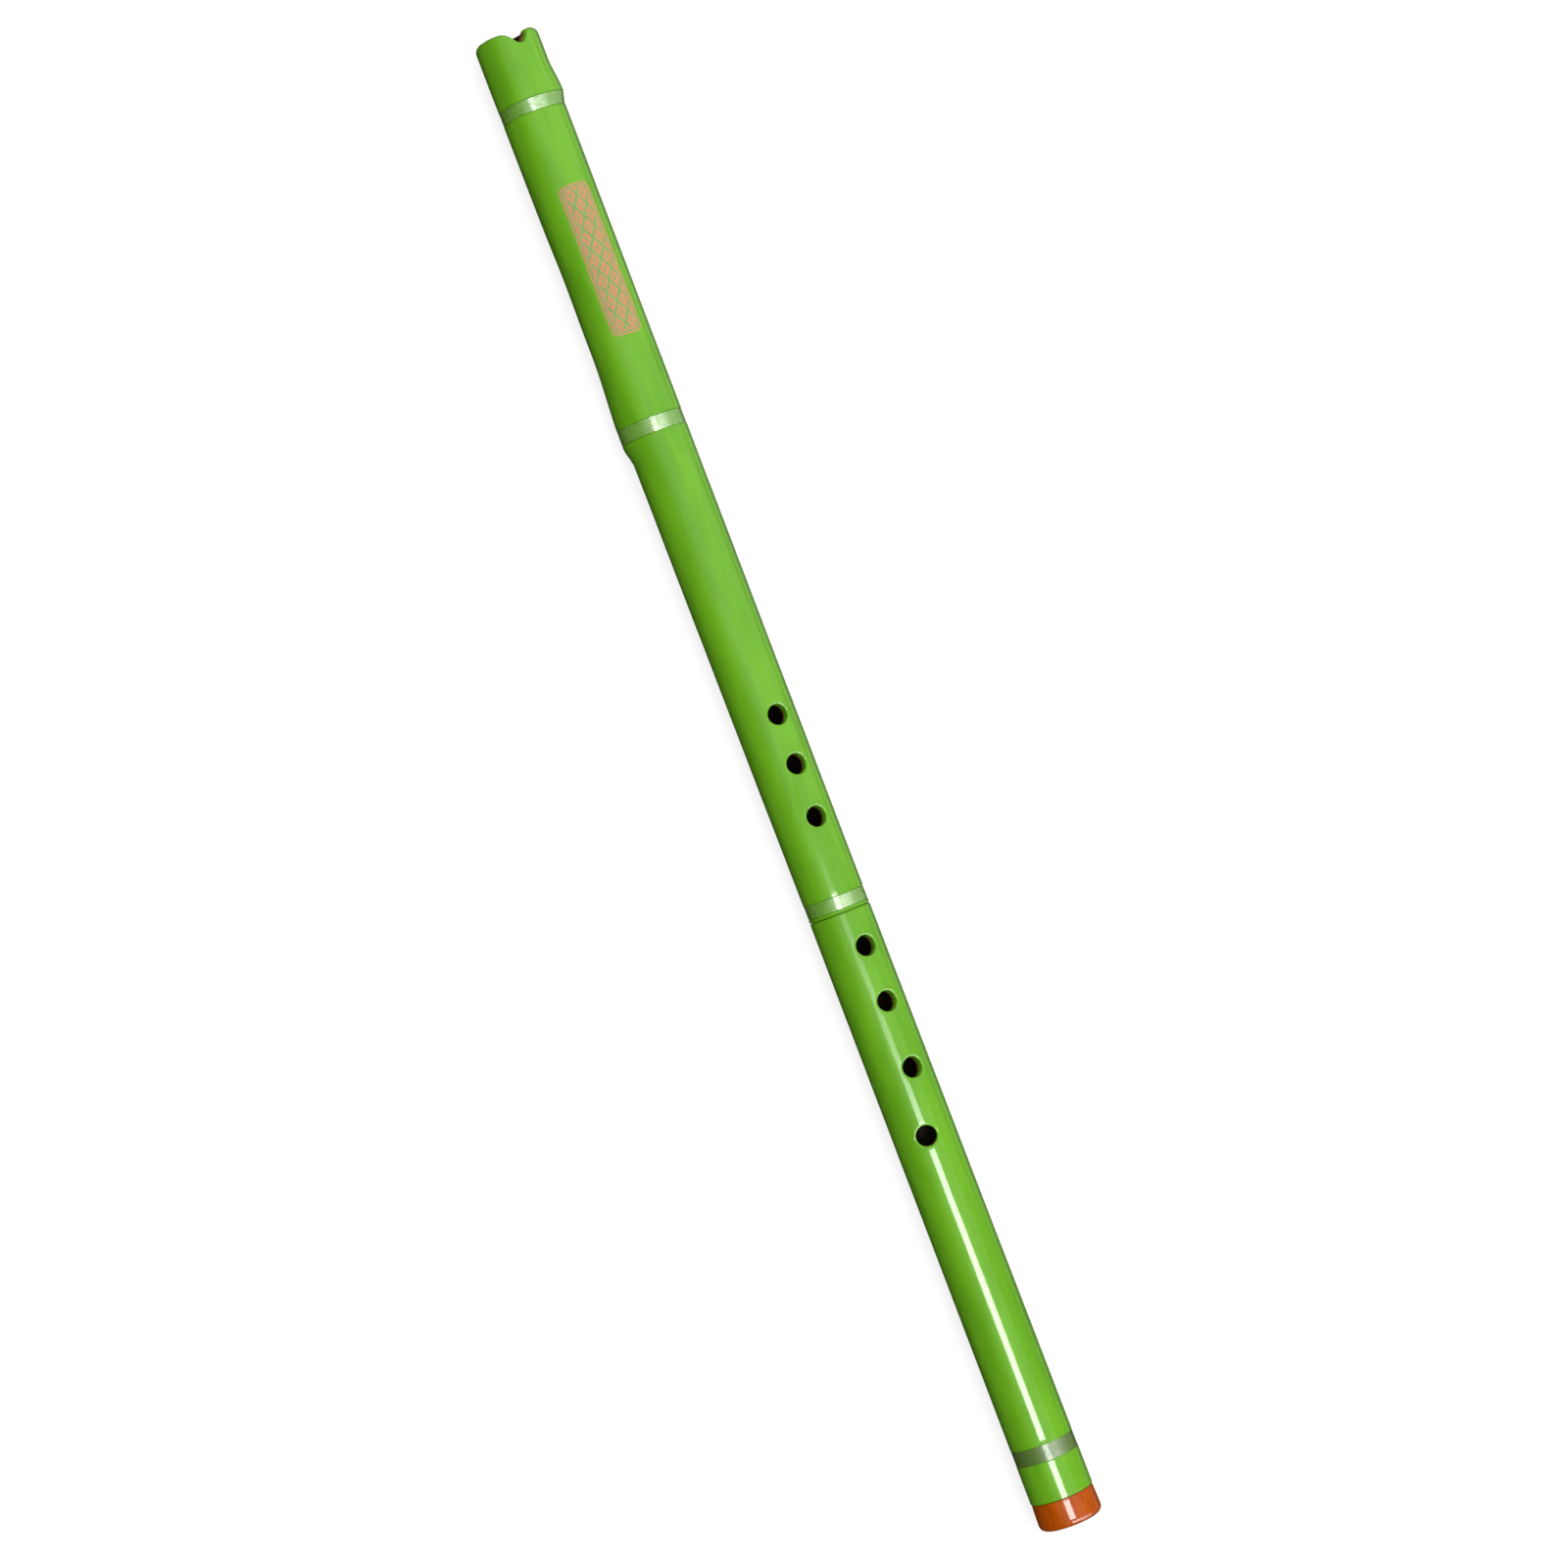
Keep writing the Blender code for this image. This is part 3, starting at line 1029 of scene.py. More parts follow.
@dataclass(frozen=True)
class Hole:
    """A round hole through the wall."""

    place: float
    radius: float
    turn: float

    def at(self, flute: Flute, along: float, aside: float, height: float) -> Place:
        """A point by its offsets from the hole's middle, at a height above the flute's axis.

        Args:
            flute: The flute's lines.
            along: How far towards the foot.
            aside: How far to the side on which the turn grows.
            height: How far out along the hole.

        Returns:
            The point.
        """
        sine, cosine = math.sin(self.turn), math.cos(self.turn)
        return (
            flute.mouth_x + self.place + along,
            sine * height + cosine * aside,
            flute.axis_height + cosine * height - sine * aside,
        )


@dataclass(frozen=True)
class Notch:
    """The blowing notch: deeper and wider further out, with softly rounded horns."""

    depth: float = 0.0044
    half_width: float = 0.0034
    bevel_run: float = 0.0016
    bevel_flare: float = 0.0012
    softness: float = 0.90
    paint_start: float = 0.45
    paint_end: float = 0.66
    fan: float = math.radians(45)
    fan_share: float = 1.35
    fan_end: float = math.radians(120)
    gather_start: float = 0.0090
    gather_end: float = 0.0240
    squeeze_end: float = 0.0220
    sharpest: float = 0.25
    sharpness_start: float = 0.8
    sharpness_end: float = 1.3
    side_start: float = 0.94
    side_end: float = 1.15

    FAR = 9.0

    def _wall_share(self, flute: Flute, radius: float) -> float:
        """How far through the wall a radius lies, from 0 at the bore to 1 outside."""
        return (radius - flute.bore) / (flute.mouth - flute.bore)

    def _half(self, flute: Flute, radius: float) -> float:
        """Half the notch's width at a radius."""
        return self.half_width + self.bevel_flare * self._wall_share(flute, radius)

    def gathered(self, flute: Flute, row: Row, even: float) -> float:
        """The turn of a column of points, which are gathered closely round the notch.

        Args:
            flute: The flute's lines.
            row: The ring that the point is on.
            even: The turn that the column has further down the flute.

        Returns:
            The turn on that ring.
        """
        weight = 1 - smooth_step(row.distance, self.gather_start, self.gather_end)
        size = abs(even)
        if weight == 0 or size >= self.fan_end:
            return even
        half = self._half(flute, row.radius)
        edge = math.asin(half * self.fan_share / row.radius)
        if size <= self.fan:
            near = math.asin(half * self.fan_share * size / self.fan / row.radius)
        else:
            near = mixed(edge, self.fan_end, (size - self.fan) / (self.fan_end - self.fan))
        return math.copysign(mixed(size, near, weight), even)

    def across(self, flute: Flute, radius: float, turn: float) -> float:
        """How far to the side of the notch's middle a point lies, in half widths.

        Args:
            flute: The flute's lines.
            radius: The point's radius.
            turn: The point's turn.

        Returns:
            The distance, or FAR behind the axis.
        """
        if math.cos(turn) <= 0:
            return self.FAR
        return abs(radius * math.sin(turn)) / self._half(flute, radius)

    def sharpness(self, flute: Flute, radius: float, turn: float) -> float:
        """How much of the rim's full rounding is left, which is least in the notch."""
        across = self.across(flute, radius, turn)
        return mixed(self.sharpest, 1.0, smooth_step(across, self.sharpness_start, self.sharpness_end))

    def cut(self, flute: Flute, radius: float, turn: float) -> float:
        """How far down the flute the notch has cut the rim back at a point.

        Args:
            flute: The flute's lines.
            radius: The point's radius.
            turn: The point's turn.

        Returns:
            The distance from the rim's plane.
        """
        inside = 1 - self.across(flute, radius, turn) ** 2
        depth = self.depth + self.bevel_run * self._wall_share(flute, radius)
        return depth * 0.5 * (inside + math.sqrt(inside * inside + self.softness))

    def paint(self, flute: Flute, radius: float, turn: float) -> float:
        """How much lacquer a point of the rim has, which the notch's cut bares near the bore.

        Args:
            flute: The flute's lines.
            radius: The point's radius.
            turn: The point's turn.

        Returns:
            The share, from 0 to 1.
        """
        across = self.across(flute, radius, turn)
        beside = smooth_step(across, self.side_start, self.side_end)
        outer = smooth_step(self._wall_share(flute, radius), self.paint_start, self.paint_end)
        return max(beside, outer)


@dataclass(frozen=True)
class Band:
    """A band of wound line in its shallow groove."""

    node: str
    body: str
    middle: float
    width: float
    tone: LineTone
    turns: float
    groove_depth: float = 0.00056
    groove_spare: float = 0.00006

    EDGE_REACH = 0.00022
    EDGE = ((-EDGE_REACH, 0.0), (-0.00008, 0.00003), (-0.00002, 0.00010), (0.00001, 0.00022))
    FLOOR_EDGE = ((0.00002, 0.00004), (0.00008, 0.0))

    def rows(self, flute: Flute) -> list[Row]:
        """The rings of the groove, with a small rounded edge at both ends.

        Args:
            flute: The flute's lines.

        Returns:
            The rings, from the mouth side on.
        """
        half = self.width / 2 + self.groove_spare
        edge = [*self.EDGE]
        edge += [(step, self.groove_depth - above) for step, above in self.FLOOR_EDGE]
        levels = [(-half + step, depth) for step, depth in edge]
        levels += [(-half / 3, self.groove_depth), (half / 3, self.groove_depth)]
        levels += [(half - step, depth) for step, depth in reversed(edge)]
        return [
            Row(self.middle + step, flute.outside(self.middle + step) - depth, 1.0, Part.OUTSIDE)
            for step, depth in levels
        ]

    def edges(self) -> tuple[float, float]:
        """The distances between which the groove takes the tube's surface."""
        half = self.width / 2 + self.groove_spare + self.EDGE_REACH
        return self.middle - half, self.middle + half


@dataclass
class Tube:
    """A lathe-true tube with grooves, round holes and, at the mouth, a notch."""

    COLUMNS = 120
    CELLS = 24
    OUTSIDE_STEP = 0.0030
    INSIDE_STEP = 0.0120

    flute: Flute
    rows: list[Row]
    holes: tuple[Hole, ...]
    notch: Notch | None = None
    outer_reach: float = 0.0088
    inner_reach: float = 0.0060
    outer_round: float = 0.0012
    inner_round: float = 0.0004
    lacquer_start: float = 0.0024
    lacquer_end: float = 0.0052
    rim_round: float = 0.0033
    lip_round: float = 0.0008

    def build(self, name: str, material: bpy.types.Material) -> bpy.types.Object:
        """Builds the tube's mesh as one closed surface.

        Args:
            name: The piece's name.
            material: Its finish.

        Returns:
            The object, at the origin and linked to the scene.
        """
        mould = Mould()
        rings = [self._ring(mould, row) for row in self.rows]
        gaps: dict[int, set[int]] = {}
        for hole in self.holes:
            outer = self._window(rings, gaps, hole, Part.OUTSIDE, self.outer_reach)
            inner = self._window(rings, gaps, hole, Part.INSIDE, self.inner_reach)
            self._line_hole(mould, hole, outer, inner)
        for i, ring in enumerate(rings):
            mould.band(ring, rings[(i + 1) % len(rings)], gaps.get(i, ()))
        return mould.make(name, material)

    def _ring(self, mould: Mould, row: Row) -> list[int]:
        """Adds one ring's points.

        Args:
            mould: The mesh.
            row: The ring.

        Returns:
            The points' numbers.
        """
        step = 2 * math.pi / self.COLUMNS
        turns = [math.remainder(step * column, 2 * math.pi) for column in range(self.COLUMNS)]
        return [self._point(mould, row, turn) for turn in turns]

    def _point(self, mould: Mould, row: Row, turn: float) -> int:
        """Adds one point of a ring, moved to make room for the notch.

        Args:
            mould: The mesh.
            row: The ring.
            turn: The point's turn on an even ring.

        Returns:
            The point's number.
        """
        notch = self.notch
        if notch is None or row.distance >= notch.gather_end:
            return mould.point(self.flute.place(row.distance, row.radius, turn), row.lacquer)
        turn = notch.gathered(self.flute, row, turn)
        sharpness = notch.sharpness(self.flute, row.radius, turn)
        radius = self._rim_radius(row, sharpness)
        cut = notch.cut(self.flute, radius, turn)
        rounding = self.lip_round if row.part is Part.INSIDE else self.rim_round
        if row.distance <= rounding:
            distance = cut + sharpness * row.distance
        else:
            start = cut + sharpness * rounding
            share = (row.distance - rounding) / (notch.squeeze_end - rounding)
            distance = mixed(start, notch.squeeze_end, share) if share < 1 else row.distance
        lacquer = row.lacquer
        if row.part is Part.RIM:
            lacquer *= notch.paint(self.flute, radius, turn)
        return mould.point(self.flute.place(distance, radius, turn), lacquer)

    def _rim_radius(self, row: Row, sharpness: float) -> float:
        """The radius of a ring of the rim, whose roundings shrink with the sharpness.

        Args:
            row: The ring.
            sharpness: The share of the full rounding that is left.

        Returns:
            The radius.
        """
        if row.part is not Part.RIM:
            return row.radius
        outer = self.flute.mouth
        inner = self.flute.bore
        low = inner + self.lip_round
        high = outer - self.rim_round
        if row.radius >= high:
            return outer - sharpness * (outer - row.radius)
        if row.radius <= low:
            return inner + sharpness * (row.radius - inner)
        share = (row.radius - low) / (high - low)
        return mixed(inner + sharpness * (low - inner), outer - sharpness * (outer - high), share)

    def _window(
        self,
        rings: list[list[int]],
        gaps: dict[int, set[int]],
        hole: Hole,
        part: Part,
        reach: float,
    ) -> list[int]:
        """Opens a square window of cells round a hole.

        Args:
            rings: The numbers of every ring's points.
            gaps: The cells left out so far, by ring, which this adds to.
            hole: The hole.
            part: The side of the wall.
            reach: Half the window's length along the flute.

        Returns:
            The numbers of the points round the window, from the foot side on as the turn grows.
        """
        half = self.CELLS // 2
        nearest = [
            min(
                (i for i, row in enumerate(self.rows) if row.part is part),
                key=lambda i, goal=hole.place + reach * step / half: abs(self.rows[i].distance - goal),
            )
            for step in range(-half, half + 1)
        ]
        middle = round(hole.turn / (2 * math.pi / self.COLUMNS))
        columns = [(middle + step) % self.COLUMNS for step in range(-half, half + 1)]
        for i in range(min(nearest), max(nearest)):
            gaps.setdefault(i, set()).update(columns[:-1])
        border = []
        for i in range(self.CELLS + 1):
            for j in range(self.CELLS + 1):
                if i in (0, self.CELLS) or j in (0, self.CELLS):
                    angle = square_angle(i - half, j - half)
                    border.append((angle, rings[nearest[i]][columns[j]]))
        return [number for _, number in sorted(border)]

    def _line_hole(self, mould: Mould, hole: Hole, outer: list[int], inner: list[int]) -> None:
        """Joins a hole's two windows with its rounded edges and its wall.

        Args:
            mould: The mesh.
            hole: The hole.
            outer: The numbers of the points round its window outside.
            inner: The numbers of the points round its window in the bore.
        """
        edge = hole.radius + self.outer_round
        lip = hole.radius + self.inner_round
        loops = [outer]
        loops += [self._flat(mould, hole, outer, edge, share / 4, True) for share in (1, 2, 3)]
        for sine, fall in quarter_round(6):
            radius, depth = edge - self.outer_round * sine, self.outer_round * fall
            loops.append(self._round(mould, hole, radius, depth, True))
        loops += [self._wall(mould, hole, share / 5) for share in (1, 2, 3, 4)]
        for sine, fall in reversed(quarter_round(3)):
            radius, depth = lip - self.inner_round * sine, self.inner_round * fall
            loops.append(self._round(mould, hole, radius, depth, False))
        loops += [self._flat(mould, hole, inner, lip, 0.5, False), inner]
        for first, second in zip(loops, loops[1:]):
            mould.band(first, second)

    def _circle(self, radius: float) -> list[tuple[float, float]]:
        """The offsets along and aside of a circle's points, as many as a window's border has."""
        angles = [2 * math.pi * i / (4 * self.CELLS) for i in range(4 * self.CELLS)]
        return [(radius * math.cos(angle), radius * math.sin(angle)) for angle in angles]

    def _surface(self, hole: Hole, along: float, aside: float, outside: bool) -> float:
        """The height above the axis of the outside or the bore, beside a hole's middle."""
        radius = self.flute.outside(hole.place + along) if outside else self.flute.bore
        return math.sqrt(radius * radius - aside * aside)

    def _flat(
        self, mould: Mould, hole: Hole, border: list[int], radius: float, share: float, outside: bool
    ) -> list[int]:
        """Adds a loop between a window's border and a circle, on the tube's surface.

        Args:
            mould: The mesh.
            hole: The hole.
            border: The numbers of the points round the window.
            radius: The circle's radius.
            share: How far from the border to the circle the loop lies.
            outside: Whether it lies on the outside or in the bore.

        Returns:
            The numbers of the loop's points.
        """
        sine, cosine = math.sin(hole.turn), math.cos(hole.turn)
        loop = []
        for number, (end_along, end_aside) in zip(border, self._circle(radius), strict=True):
            x, y, z = mould.points[number]
            beside = cosine * y - sine * (z - self.flute.axis_height)
            along = mixed(x - self.flute.mouth_x - hole.place, end_along, share)
            aside = mixed(beside, end_aside, share)
            height = self._surface(hole, along, aside, outside)
            place = hole.at(self.flute, along, aside, height)
            loop.append(mould.point(place, 1.0 if outside else 0.0))
        return loop

    def _round(
        self, mould: Mould, hole: Hole, radius: float, depth: float, outside: bool
    ) -> list[int]:
        """Adds a loop of a hole's rounded edge, at a radius and a depth within the wall.

        Args:
            mould: The mesh.
            hole: The hole.
            radius: The loop's radius.
            depth: How far it lies below the surface.
            outside: Whether that is the outside or the bore.

        Returns:
            The numbers of the loop's points.
        """
        loop = []
        for along, aside in self._circle(radius):
            height = self._surface(hole, along, aside, outside) + (-depth if outside else depth)
            place = hole.at(self.flute, along, aside, height)
            loop.append(mould.point(place, 1.0 if outside else 0.0))
        return loop

    def _wall(self, mould: Mould, hole: Hole, share: float) -> list[int]:
        """Adds a loop of a hole's wall, a share of the way in.

        Args:
            mould: The mesh.
            hole: The hole.
            share: How far in it lies, from 0 to 1.

        Returns:
            The numbers of the loop's points.
        """
        loop = []
        for along, aside in self._circle(hole.radius):
            top = self._surface(hole, along, aside, True)
            bottom = self._surface(hole, along, aside, False) + self.inner_round
            height = mixed(top - self.outer_round, bottom, share)
            lacquer = 1 - smooth_step(top - height, self.lacquer_start, self.lacquer_end)
            loop.append(mould.point(hole.at(self.flute, along, aside, height), lacquer))
        return loop


def square_angle(along: int, aside: int) -> float:
    """The angle from 0 to a full turn that spreads a square's border evenly round a circle.

    Args:
        along: The border point's offset along the flute.
        aside: Its offset to the side.

    Returns:
        The angle.
    """
    if abs(along) >= abs(aside):
        angle = math.pi / 4 * aside / along + (math.pi if along < 0 else 0.0)
    else:
        angle = math.pi / 2 - math.pi / 4 * along / aside + (math.pi if aside < 0 else 0.0)
    return round(angle % (2 * math.pi), 9) % round(2 * math.pi, 9)


def window_marks(holes: Iterable[Hole], reach: float) -> set[float]:
    """The distances of the close rings that make the cells of some holes' windows."""
    half = Tube.CELLS // 2
    return {hole.place + reach * step / half for hole in holes for step in range(-half, half + 1)}


def outside_rows(
    flute: Flute, start: float, end: float, bands: Sequence[Band], holes: Sequence[Hole]
) -> list[Row]:
    """The rings of a tube's outside.

    Args:
        flute: The flute's lines.
        start: The distance of the first ring.
        end: The distance of the last ring.
        bands: The bands whose grooves are cut in it.
        holes: The holes that need a window of close rings.

    Returns:
        The rings, from the start to the end.
    """
    marks = {start, end} | window_marks(holes, Tube.outer_reach)
    for band in bands:
        marks.update(band.edges())
    plain = [
        distance
        for distance in spread(marks, Tube.OUTSIDE_STEP)
        if not any(band.edges()[0] <= distance <= band.edges()[1] for band in bands)
    ]
    rows = [Row(distance, flute.outside(distance), 1.0, Part.OUTSIDE) for distance in plain]
    rows += [row for band in bands for row in band.rows(flute)]
    return sorted(rows, key=lambda row: row.distance)


def inside_rows(flute: Flute, start: float, end: float, holes: Sequence[Hole]) -> list[Row]:
    """The rings of a bore, close together round the holes.

    Args:
        flute: The flute's lines.
        start: The distance of the last ring.
        end: The distance of the first ring.
        holes: The holes that need a window of close rings.

    Returns:
        The rings, from the end back to the start.
    """
    marks = {start, end} | window_marks(holes, Tube.inner_reach)
    places = reversed(spread(marks, Tube.INSIDE_STEP))
    return [Row(distance, flute.bore, 0.0, Part.INSIDE) for distance in places]


def turned(
    flute: Flute, name: str, profile: Sequence[tuple[float, float]], material: bpy.types.Material
) -> bpy.types.Object:
    """A piece turned about the flute's axis.

    Args:
        flute: The flute's lines.
        name: The piece's name.
        profile: Its closed outline, as places along X and radii.
        material: Its finish.

    Returns:
        The object.
    """
    mould = Mould()
    turns = [2 * math.pi * i / TURNED_COLUMNS for i in range(TURNED_COLUMNS)]
    rings = [
        [mould.point(flute.place(x - flute.mouth_x, radius, turn)) for turn in turns]
        for x, radius in profile
    ]
    for i, ring in enumerate(rings):
        mould.band(ring, rings[(i + 1) % len(rings)])
    return mould.make(name, material)


def rounded(
    corners: Sequence[tuple[float, float, float]], steps: int = 4
) -> list[tuple[float, float]]:
    """A closed outline whose corners are rounded.

    Args:
        corners: Each corner's place along X, radius and how far its rounding reaches.
        steps: How many edges a rounding has.

    Returns:
        The outline's points.
    """
    points: list[tuple[float, float]] = []
    for i, (x, radius, size) in enumerate(corners):
        corner = Vector((x, radius))
        if size == 0:
            points.append((x, radius))
            continue
        before = Vector(corners[i - 1][:2])
        after = Vector(corners[(i + 1) % len(corners)][:2])
        first = corner + (before - corner).normalized() * size
        last = corner + (after - corner).normalized() * size
        for step in range(steps + 1):
            share = step / steps
            bent = first * (1 - share) ** 2 + corner * 2 * share * (1 - share) + last * share**2
            points.append((bent.x, bent.y))
    return points


@dataclass
class Winding:
    """The line of one band, wound in close turns with both ends tucked under."""

    CREST = "crest"

    flute: Flute
    band: Band
    form: BambooForm
    shaping: Formula
    top_setback: float = 0.00010
    tuck_turns: float = 0.20
    points_a_turn: int = 80
    thread_sides: int = 10

    def formula(self) -> Formula:
        """Builds the tree that winds the line.

        Returns:
            The tree.
        """
        sizes = ["Axis Height", "Start X", "Width", "First Radius", "Last Radius"]
        made = Formula("winding", [*sizes, "Turns", "Line Diameter", "Tuck Turns", "Flatness"])
        graph = made.graph
        axis, line = made.size("Axis Height"), made.size("Line Diameter")
        spiral = graph.add(
            "GeometryNodeCurveSpiral",
            None,
            {
                "Resolution": self.points_a_turn,
                "Rotations": made.size("Turns"),
                "Start Radius": made.size("First Radius"),
                "End Radius": made.size("Last Radius"),
                "Height": made.size("Width"),
            },
        )
        laid = graph.add(
            "GeometryNodeTransform",
            None,
            {
                "Geometry": spiral,
                "Translation": graph.vector(made.size("Start X"), 0.0, axis),
                "Rotation": (0.0, math.pi / 2, 0.0),
            },
        )
        _, _, _, outwards = made.around(axis)
        wound = graph.add("GeometryNodeSplineParameter", output="Factor") * made.size("Turns")
        left = wound.at_most(made.size("Turns") - wound) / made.size("Tuck Turns")
        laid = made.move(laid, outwards, line * (left.ease(0.0, 1.0) - 1))
        profile = graph.add(
            "GeometryNodeCurvePrimitiveCircle",
            None,
            {"Resolution": self.thread_sides, "Radius": line * 0.5},
        )
        thread = graph.add(
            "GeometryNodeCurveToMesh",
            None,
            {"Curve": laid, "Profile Curve": profile, "Fill Caps": True},
        )
        x, radius, _, _ = made.around(axis)
        share = (x - made.size("Start X")) / made.size("Width")
        level = made.size("First Radius") + share * (
            made.size("Last Radius") - made.size("First Radius")
        )
        # The crest attribute says how far out on its turn each point lies; the line's material paints
        # shade by it, darker low between the turns.
        marked = graph.add(
            "GeometryNodeStoreNamedAttribute",
            {"data_type": "FLOAT", "domain": "POINT"},
            {"Geometry": thread, "Name": self.CREST, "Value": (radius - level) / (line * 0.5)},
        )
        sunk = (line * 0.5 - (radius - level)) * made.size("Flatness")
        pressed = made.move(marked, outwards, sunk)
        made.close(graph.add("GeometryNodeSetShadeSmooth", None, {"Geometry": pressed}))
        return made

    def build(self, material: bpy.types.Material) -> bpy.types.Object:
        """Winds the line and lets it follow the bamboo's form.

        Args:
            material: The line's finish.

        Returns:
            The object, at the origin and linked to the scene.
        """
        flute, band = self.flute, self.band
        line = band.width / band.turns
        start = band.middle - band.width / 2 + line / 2
        end = band.middle + band.width / 2 - line / 2
        name = band.node.replace("binding", "winding")
        obj = link_mesh(name, bpy.data.meshes.new(name))
        below = self.top_setback + line / 2
        sizes = {
            "Finish": material,
            "Axis Height": flute.axis_height,
            "Start X": flute.mouth_x + start,
            "Width": end - start,
            "First Radius": flute.outside(start) - below,
            "Last Radius": flute.outside(end) - below,
            "Turns": (end - start) / line,
            "Line Diameter": line,
            "Tuck Turns": self.tuck_turns,
            "Flatness": band.tone.value.flatness,
        }
        self.formula().put_on(obj, sizes)
        self.shaping.put_on(obj, self.form.sizes(flute, material))
        settle(obj)
        return obj


def settle_piece(obj: bpy.types.Object, body: str, slot: str, *nodes: str) -> None:
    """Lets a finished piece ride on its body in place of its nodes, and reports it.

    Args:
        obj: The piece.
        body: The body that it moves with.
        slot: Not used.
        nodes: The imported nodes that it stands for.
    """
    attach(obj, body)
    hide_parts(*nodes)
    LOG.info("%s: %d faces on %s", obj.name, len(obj.data.polygons), body)


@dataclass(frozen=True)
class Finishes:
    """The materials of the whole flute."""

    lacquer: bpy.types.Material
    lines: dict[LineTone, bpy.types.Material]
    amber: bpy.types.Material
    brass: bpy.types.Material
    cork: bpy.types.Material

    @classmethod
    def of(cls, flute: Flute) -> "Finishes":
        """Builds every material.

        Args:
            flute: The flute's lines.

        Returns:
            The materials.
        """
        return cls(
            lacquer=GreenLacquer().make("green_lacquer", flute),
            lines={
                tone: WoundLine(tone).make(f"wound_line_{tone.name.lower()}", flute)
                for tone in LineTone
            },
            amber=AmberWood().make("amber_wood", flute),
            brass=TurnedBrass().make("turned_brass", flute),
            cork=GreasedCork().make("greased_cork", flute),
        )


@dataclass
class Workshop:
    """What both sections are made with."""

    flute: Flute
    finishes: Finishes
    form: BambooForm = field(default_factory=BambooForm)

    def __post_init__(self) -> None:
        """Builds the tree that shapes the cane."""
        self.shaping = self.form.formula()

    def shape(self, obj: bpy.types.Object) -> bpy.types.Object:
        """Gives a lathe-true piece the bamboo's uneven form.

        Args:
            obj: The piece.

        Returns:
            The same piece.
        """
        material = obj.data.materials[0]
        self.shaping.put_on(obj, self.form.sizes(self.flute, material))
        settle(obj)
        return obj

    def wind(self, bands: Iterable[Band]) -> None:
        """Winds each band's line in place of its packed ring.

        Args:
            bands: The bands.
        """
        for band in bands:
            winding = Winding(self.flute, band, self.form, self.shaping)
            made = winding.build(self.finishes.lines[band.tone])
            settle_piece(made, band.body, "binding_line", band.node)


@dataclass
class UpperSection:
    """The section with the notch, three finger holes, the thumb hole and the socket."""

    BODY = "upper_section"

    shop: Workshop
    hole_places: tuple[float, ...] = (0.3219, 0.3450, 0.3696)
    thumb_place: float = 0.2999
    near_step: float = 0.0011
    near_rings: int = 18
    socket_depth: float = 0.0253
    socket_radius: float = 0.0120
    socket_chamfer: float = 0.0002
    liner_depth: float = 0.0250
    liner_bore: float = 0.0110
    liner_radius: float = 0.0117

    def bands(self) -> tuple[Band, ...]:
        """The three bands of clear line.

        Returns:
            The bands, from the mouth on.
        """
        return (
            Band("binding_mouth", self.BODY, 0.0342, 0.0062, LineTone.CLEAR, 16),
            Band("binding_node", self.BODY, 0.1838, 0.0070, LineTone.CLEAR, 18),
            Band("binding_joint", self.BODY, 0.40835, 0.0063, LineTone.CLEAR, 16),
        )

    def holes(self) -> tuple[Hole, ...]:
        """The finger holes and the thumb hole.

        Returns:
            The holes, from the mouth on, with the thumb's last.
        """
        radius = self.shop.flute.finger_radius
        front = tuple(Hole(place, radius, 0.0) for place in self.hole_places)
        return front + (Hole(self.thumb_place, radius, math.pi),)

    def _rim(self) -> list[Row]:
        """The mouth's profile, from the lip of the bore out over the rim to its outer edge.

        Returns:
            The rings.
        """
        flute, lip, rim = self.shop.flute, Tube.lip_round, Tube.rim_round
        low, high = flute.bore + lip, flute.mouth - rim
        rows = []
        for step, (sine, fall) in enumerate(quarter_round(4, first=1), start=1):
            lacquer = smooth_step(step, 0.5, 3.0)
            rows.append(Row(lip * (1 - sine), flute.bore + lip * fall, lacquer, Part.RIM))
        rows += [Row(0.0, mixed(low, high, share / 4), 1.0, Part.RIM) for share in (1, 2, 3)]
        for sine, fall in quarter_round(8)[:-1]:
            rows.append(Row(rim * fall, high + rim * sine, 1.0, Part.RIM))
        return rows

    def _rows(self) -> list[Row]:
        """The tube's closed profile, from the rim along the outside and back through the bore.

        Returns:
            The rings.
        """
        flute = self.shop.flute
        near = [Tube.rim_round + self.near_step * i for i in range(self.near_rings)]
        end = flute.seam - flute.seam_chamfer
        rows = self._rim()
        rows += [Row(x, flute.outside(x), 1.0, Part.OUTSIDE) for x in near[:-1]]
        rows += outside_rows(flute, near[-1], end, self.bands(), self.holes())
        rim = flute.joint - flute.seam_chamfer
        socket_end = flute.seam - self.socket_depth
        rows += [
            Row(flute.seam, rim, 0.8, Part.RIM),
            Row(flute.seam, mixed(rim, self.socket_radius, 0.5), 0.0, Part.RIM),
            Row(flute.seam, self.socket_radius + self.socket_chamfer, 0.0, Part.RIM),
            Row(flute.seam - self.socket_chamfer, self.socket_radius, 0.0, Part.RIM),
            Row(socket_end, self.socket_radius, 0.0, Part.RIM),
        ]
        return rows + inside_rows(flute, Tube.lip_round, socket_end, self.holes())

    def build(self) -> None:
        """Builds the tube, its windings and the socket's liner."""
        shop, flute = self.shop, self.shop.flute
        tube = Tube(flute, self._rows(), self.holes(), Notch())
        made = shop.shape(tube.build("upper_cane", shop.finishes.lacquer))
        settle_piece(made, self.BODY, "lacquered_bamboo", "upper_tube")
        shop.wind(self.bands())
        start = flute.seam_x - self.liner_depth
        profile = rounded(
            [
                (start, self.liner_bore, 0.0002),
                (start, self.liner_radius, 0.0002),
                (flute.seam_x, self.liner_radius, 0.0001),
                (flute.seam_x, self.liner_bore, 0.0003),
            ]
        )
        liner = turned(flute, "socket_lining", profile, shop.finishes.brass)
        settle_piece(liner, self.BODY, "sleeve_brass", "socket_liner")


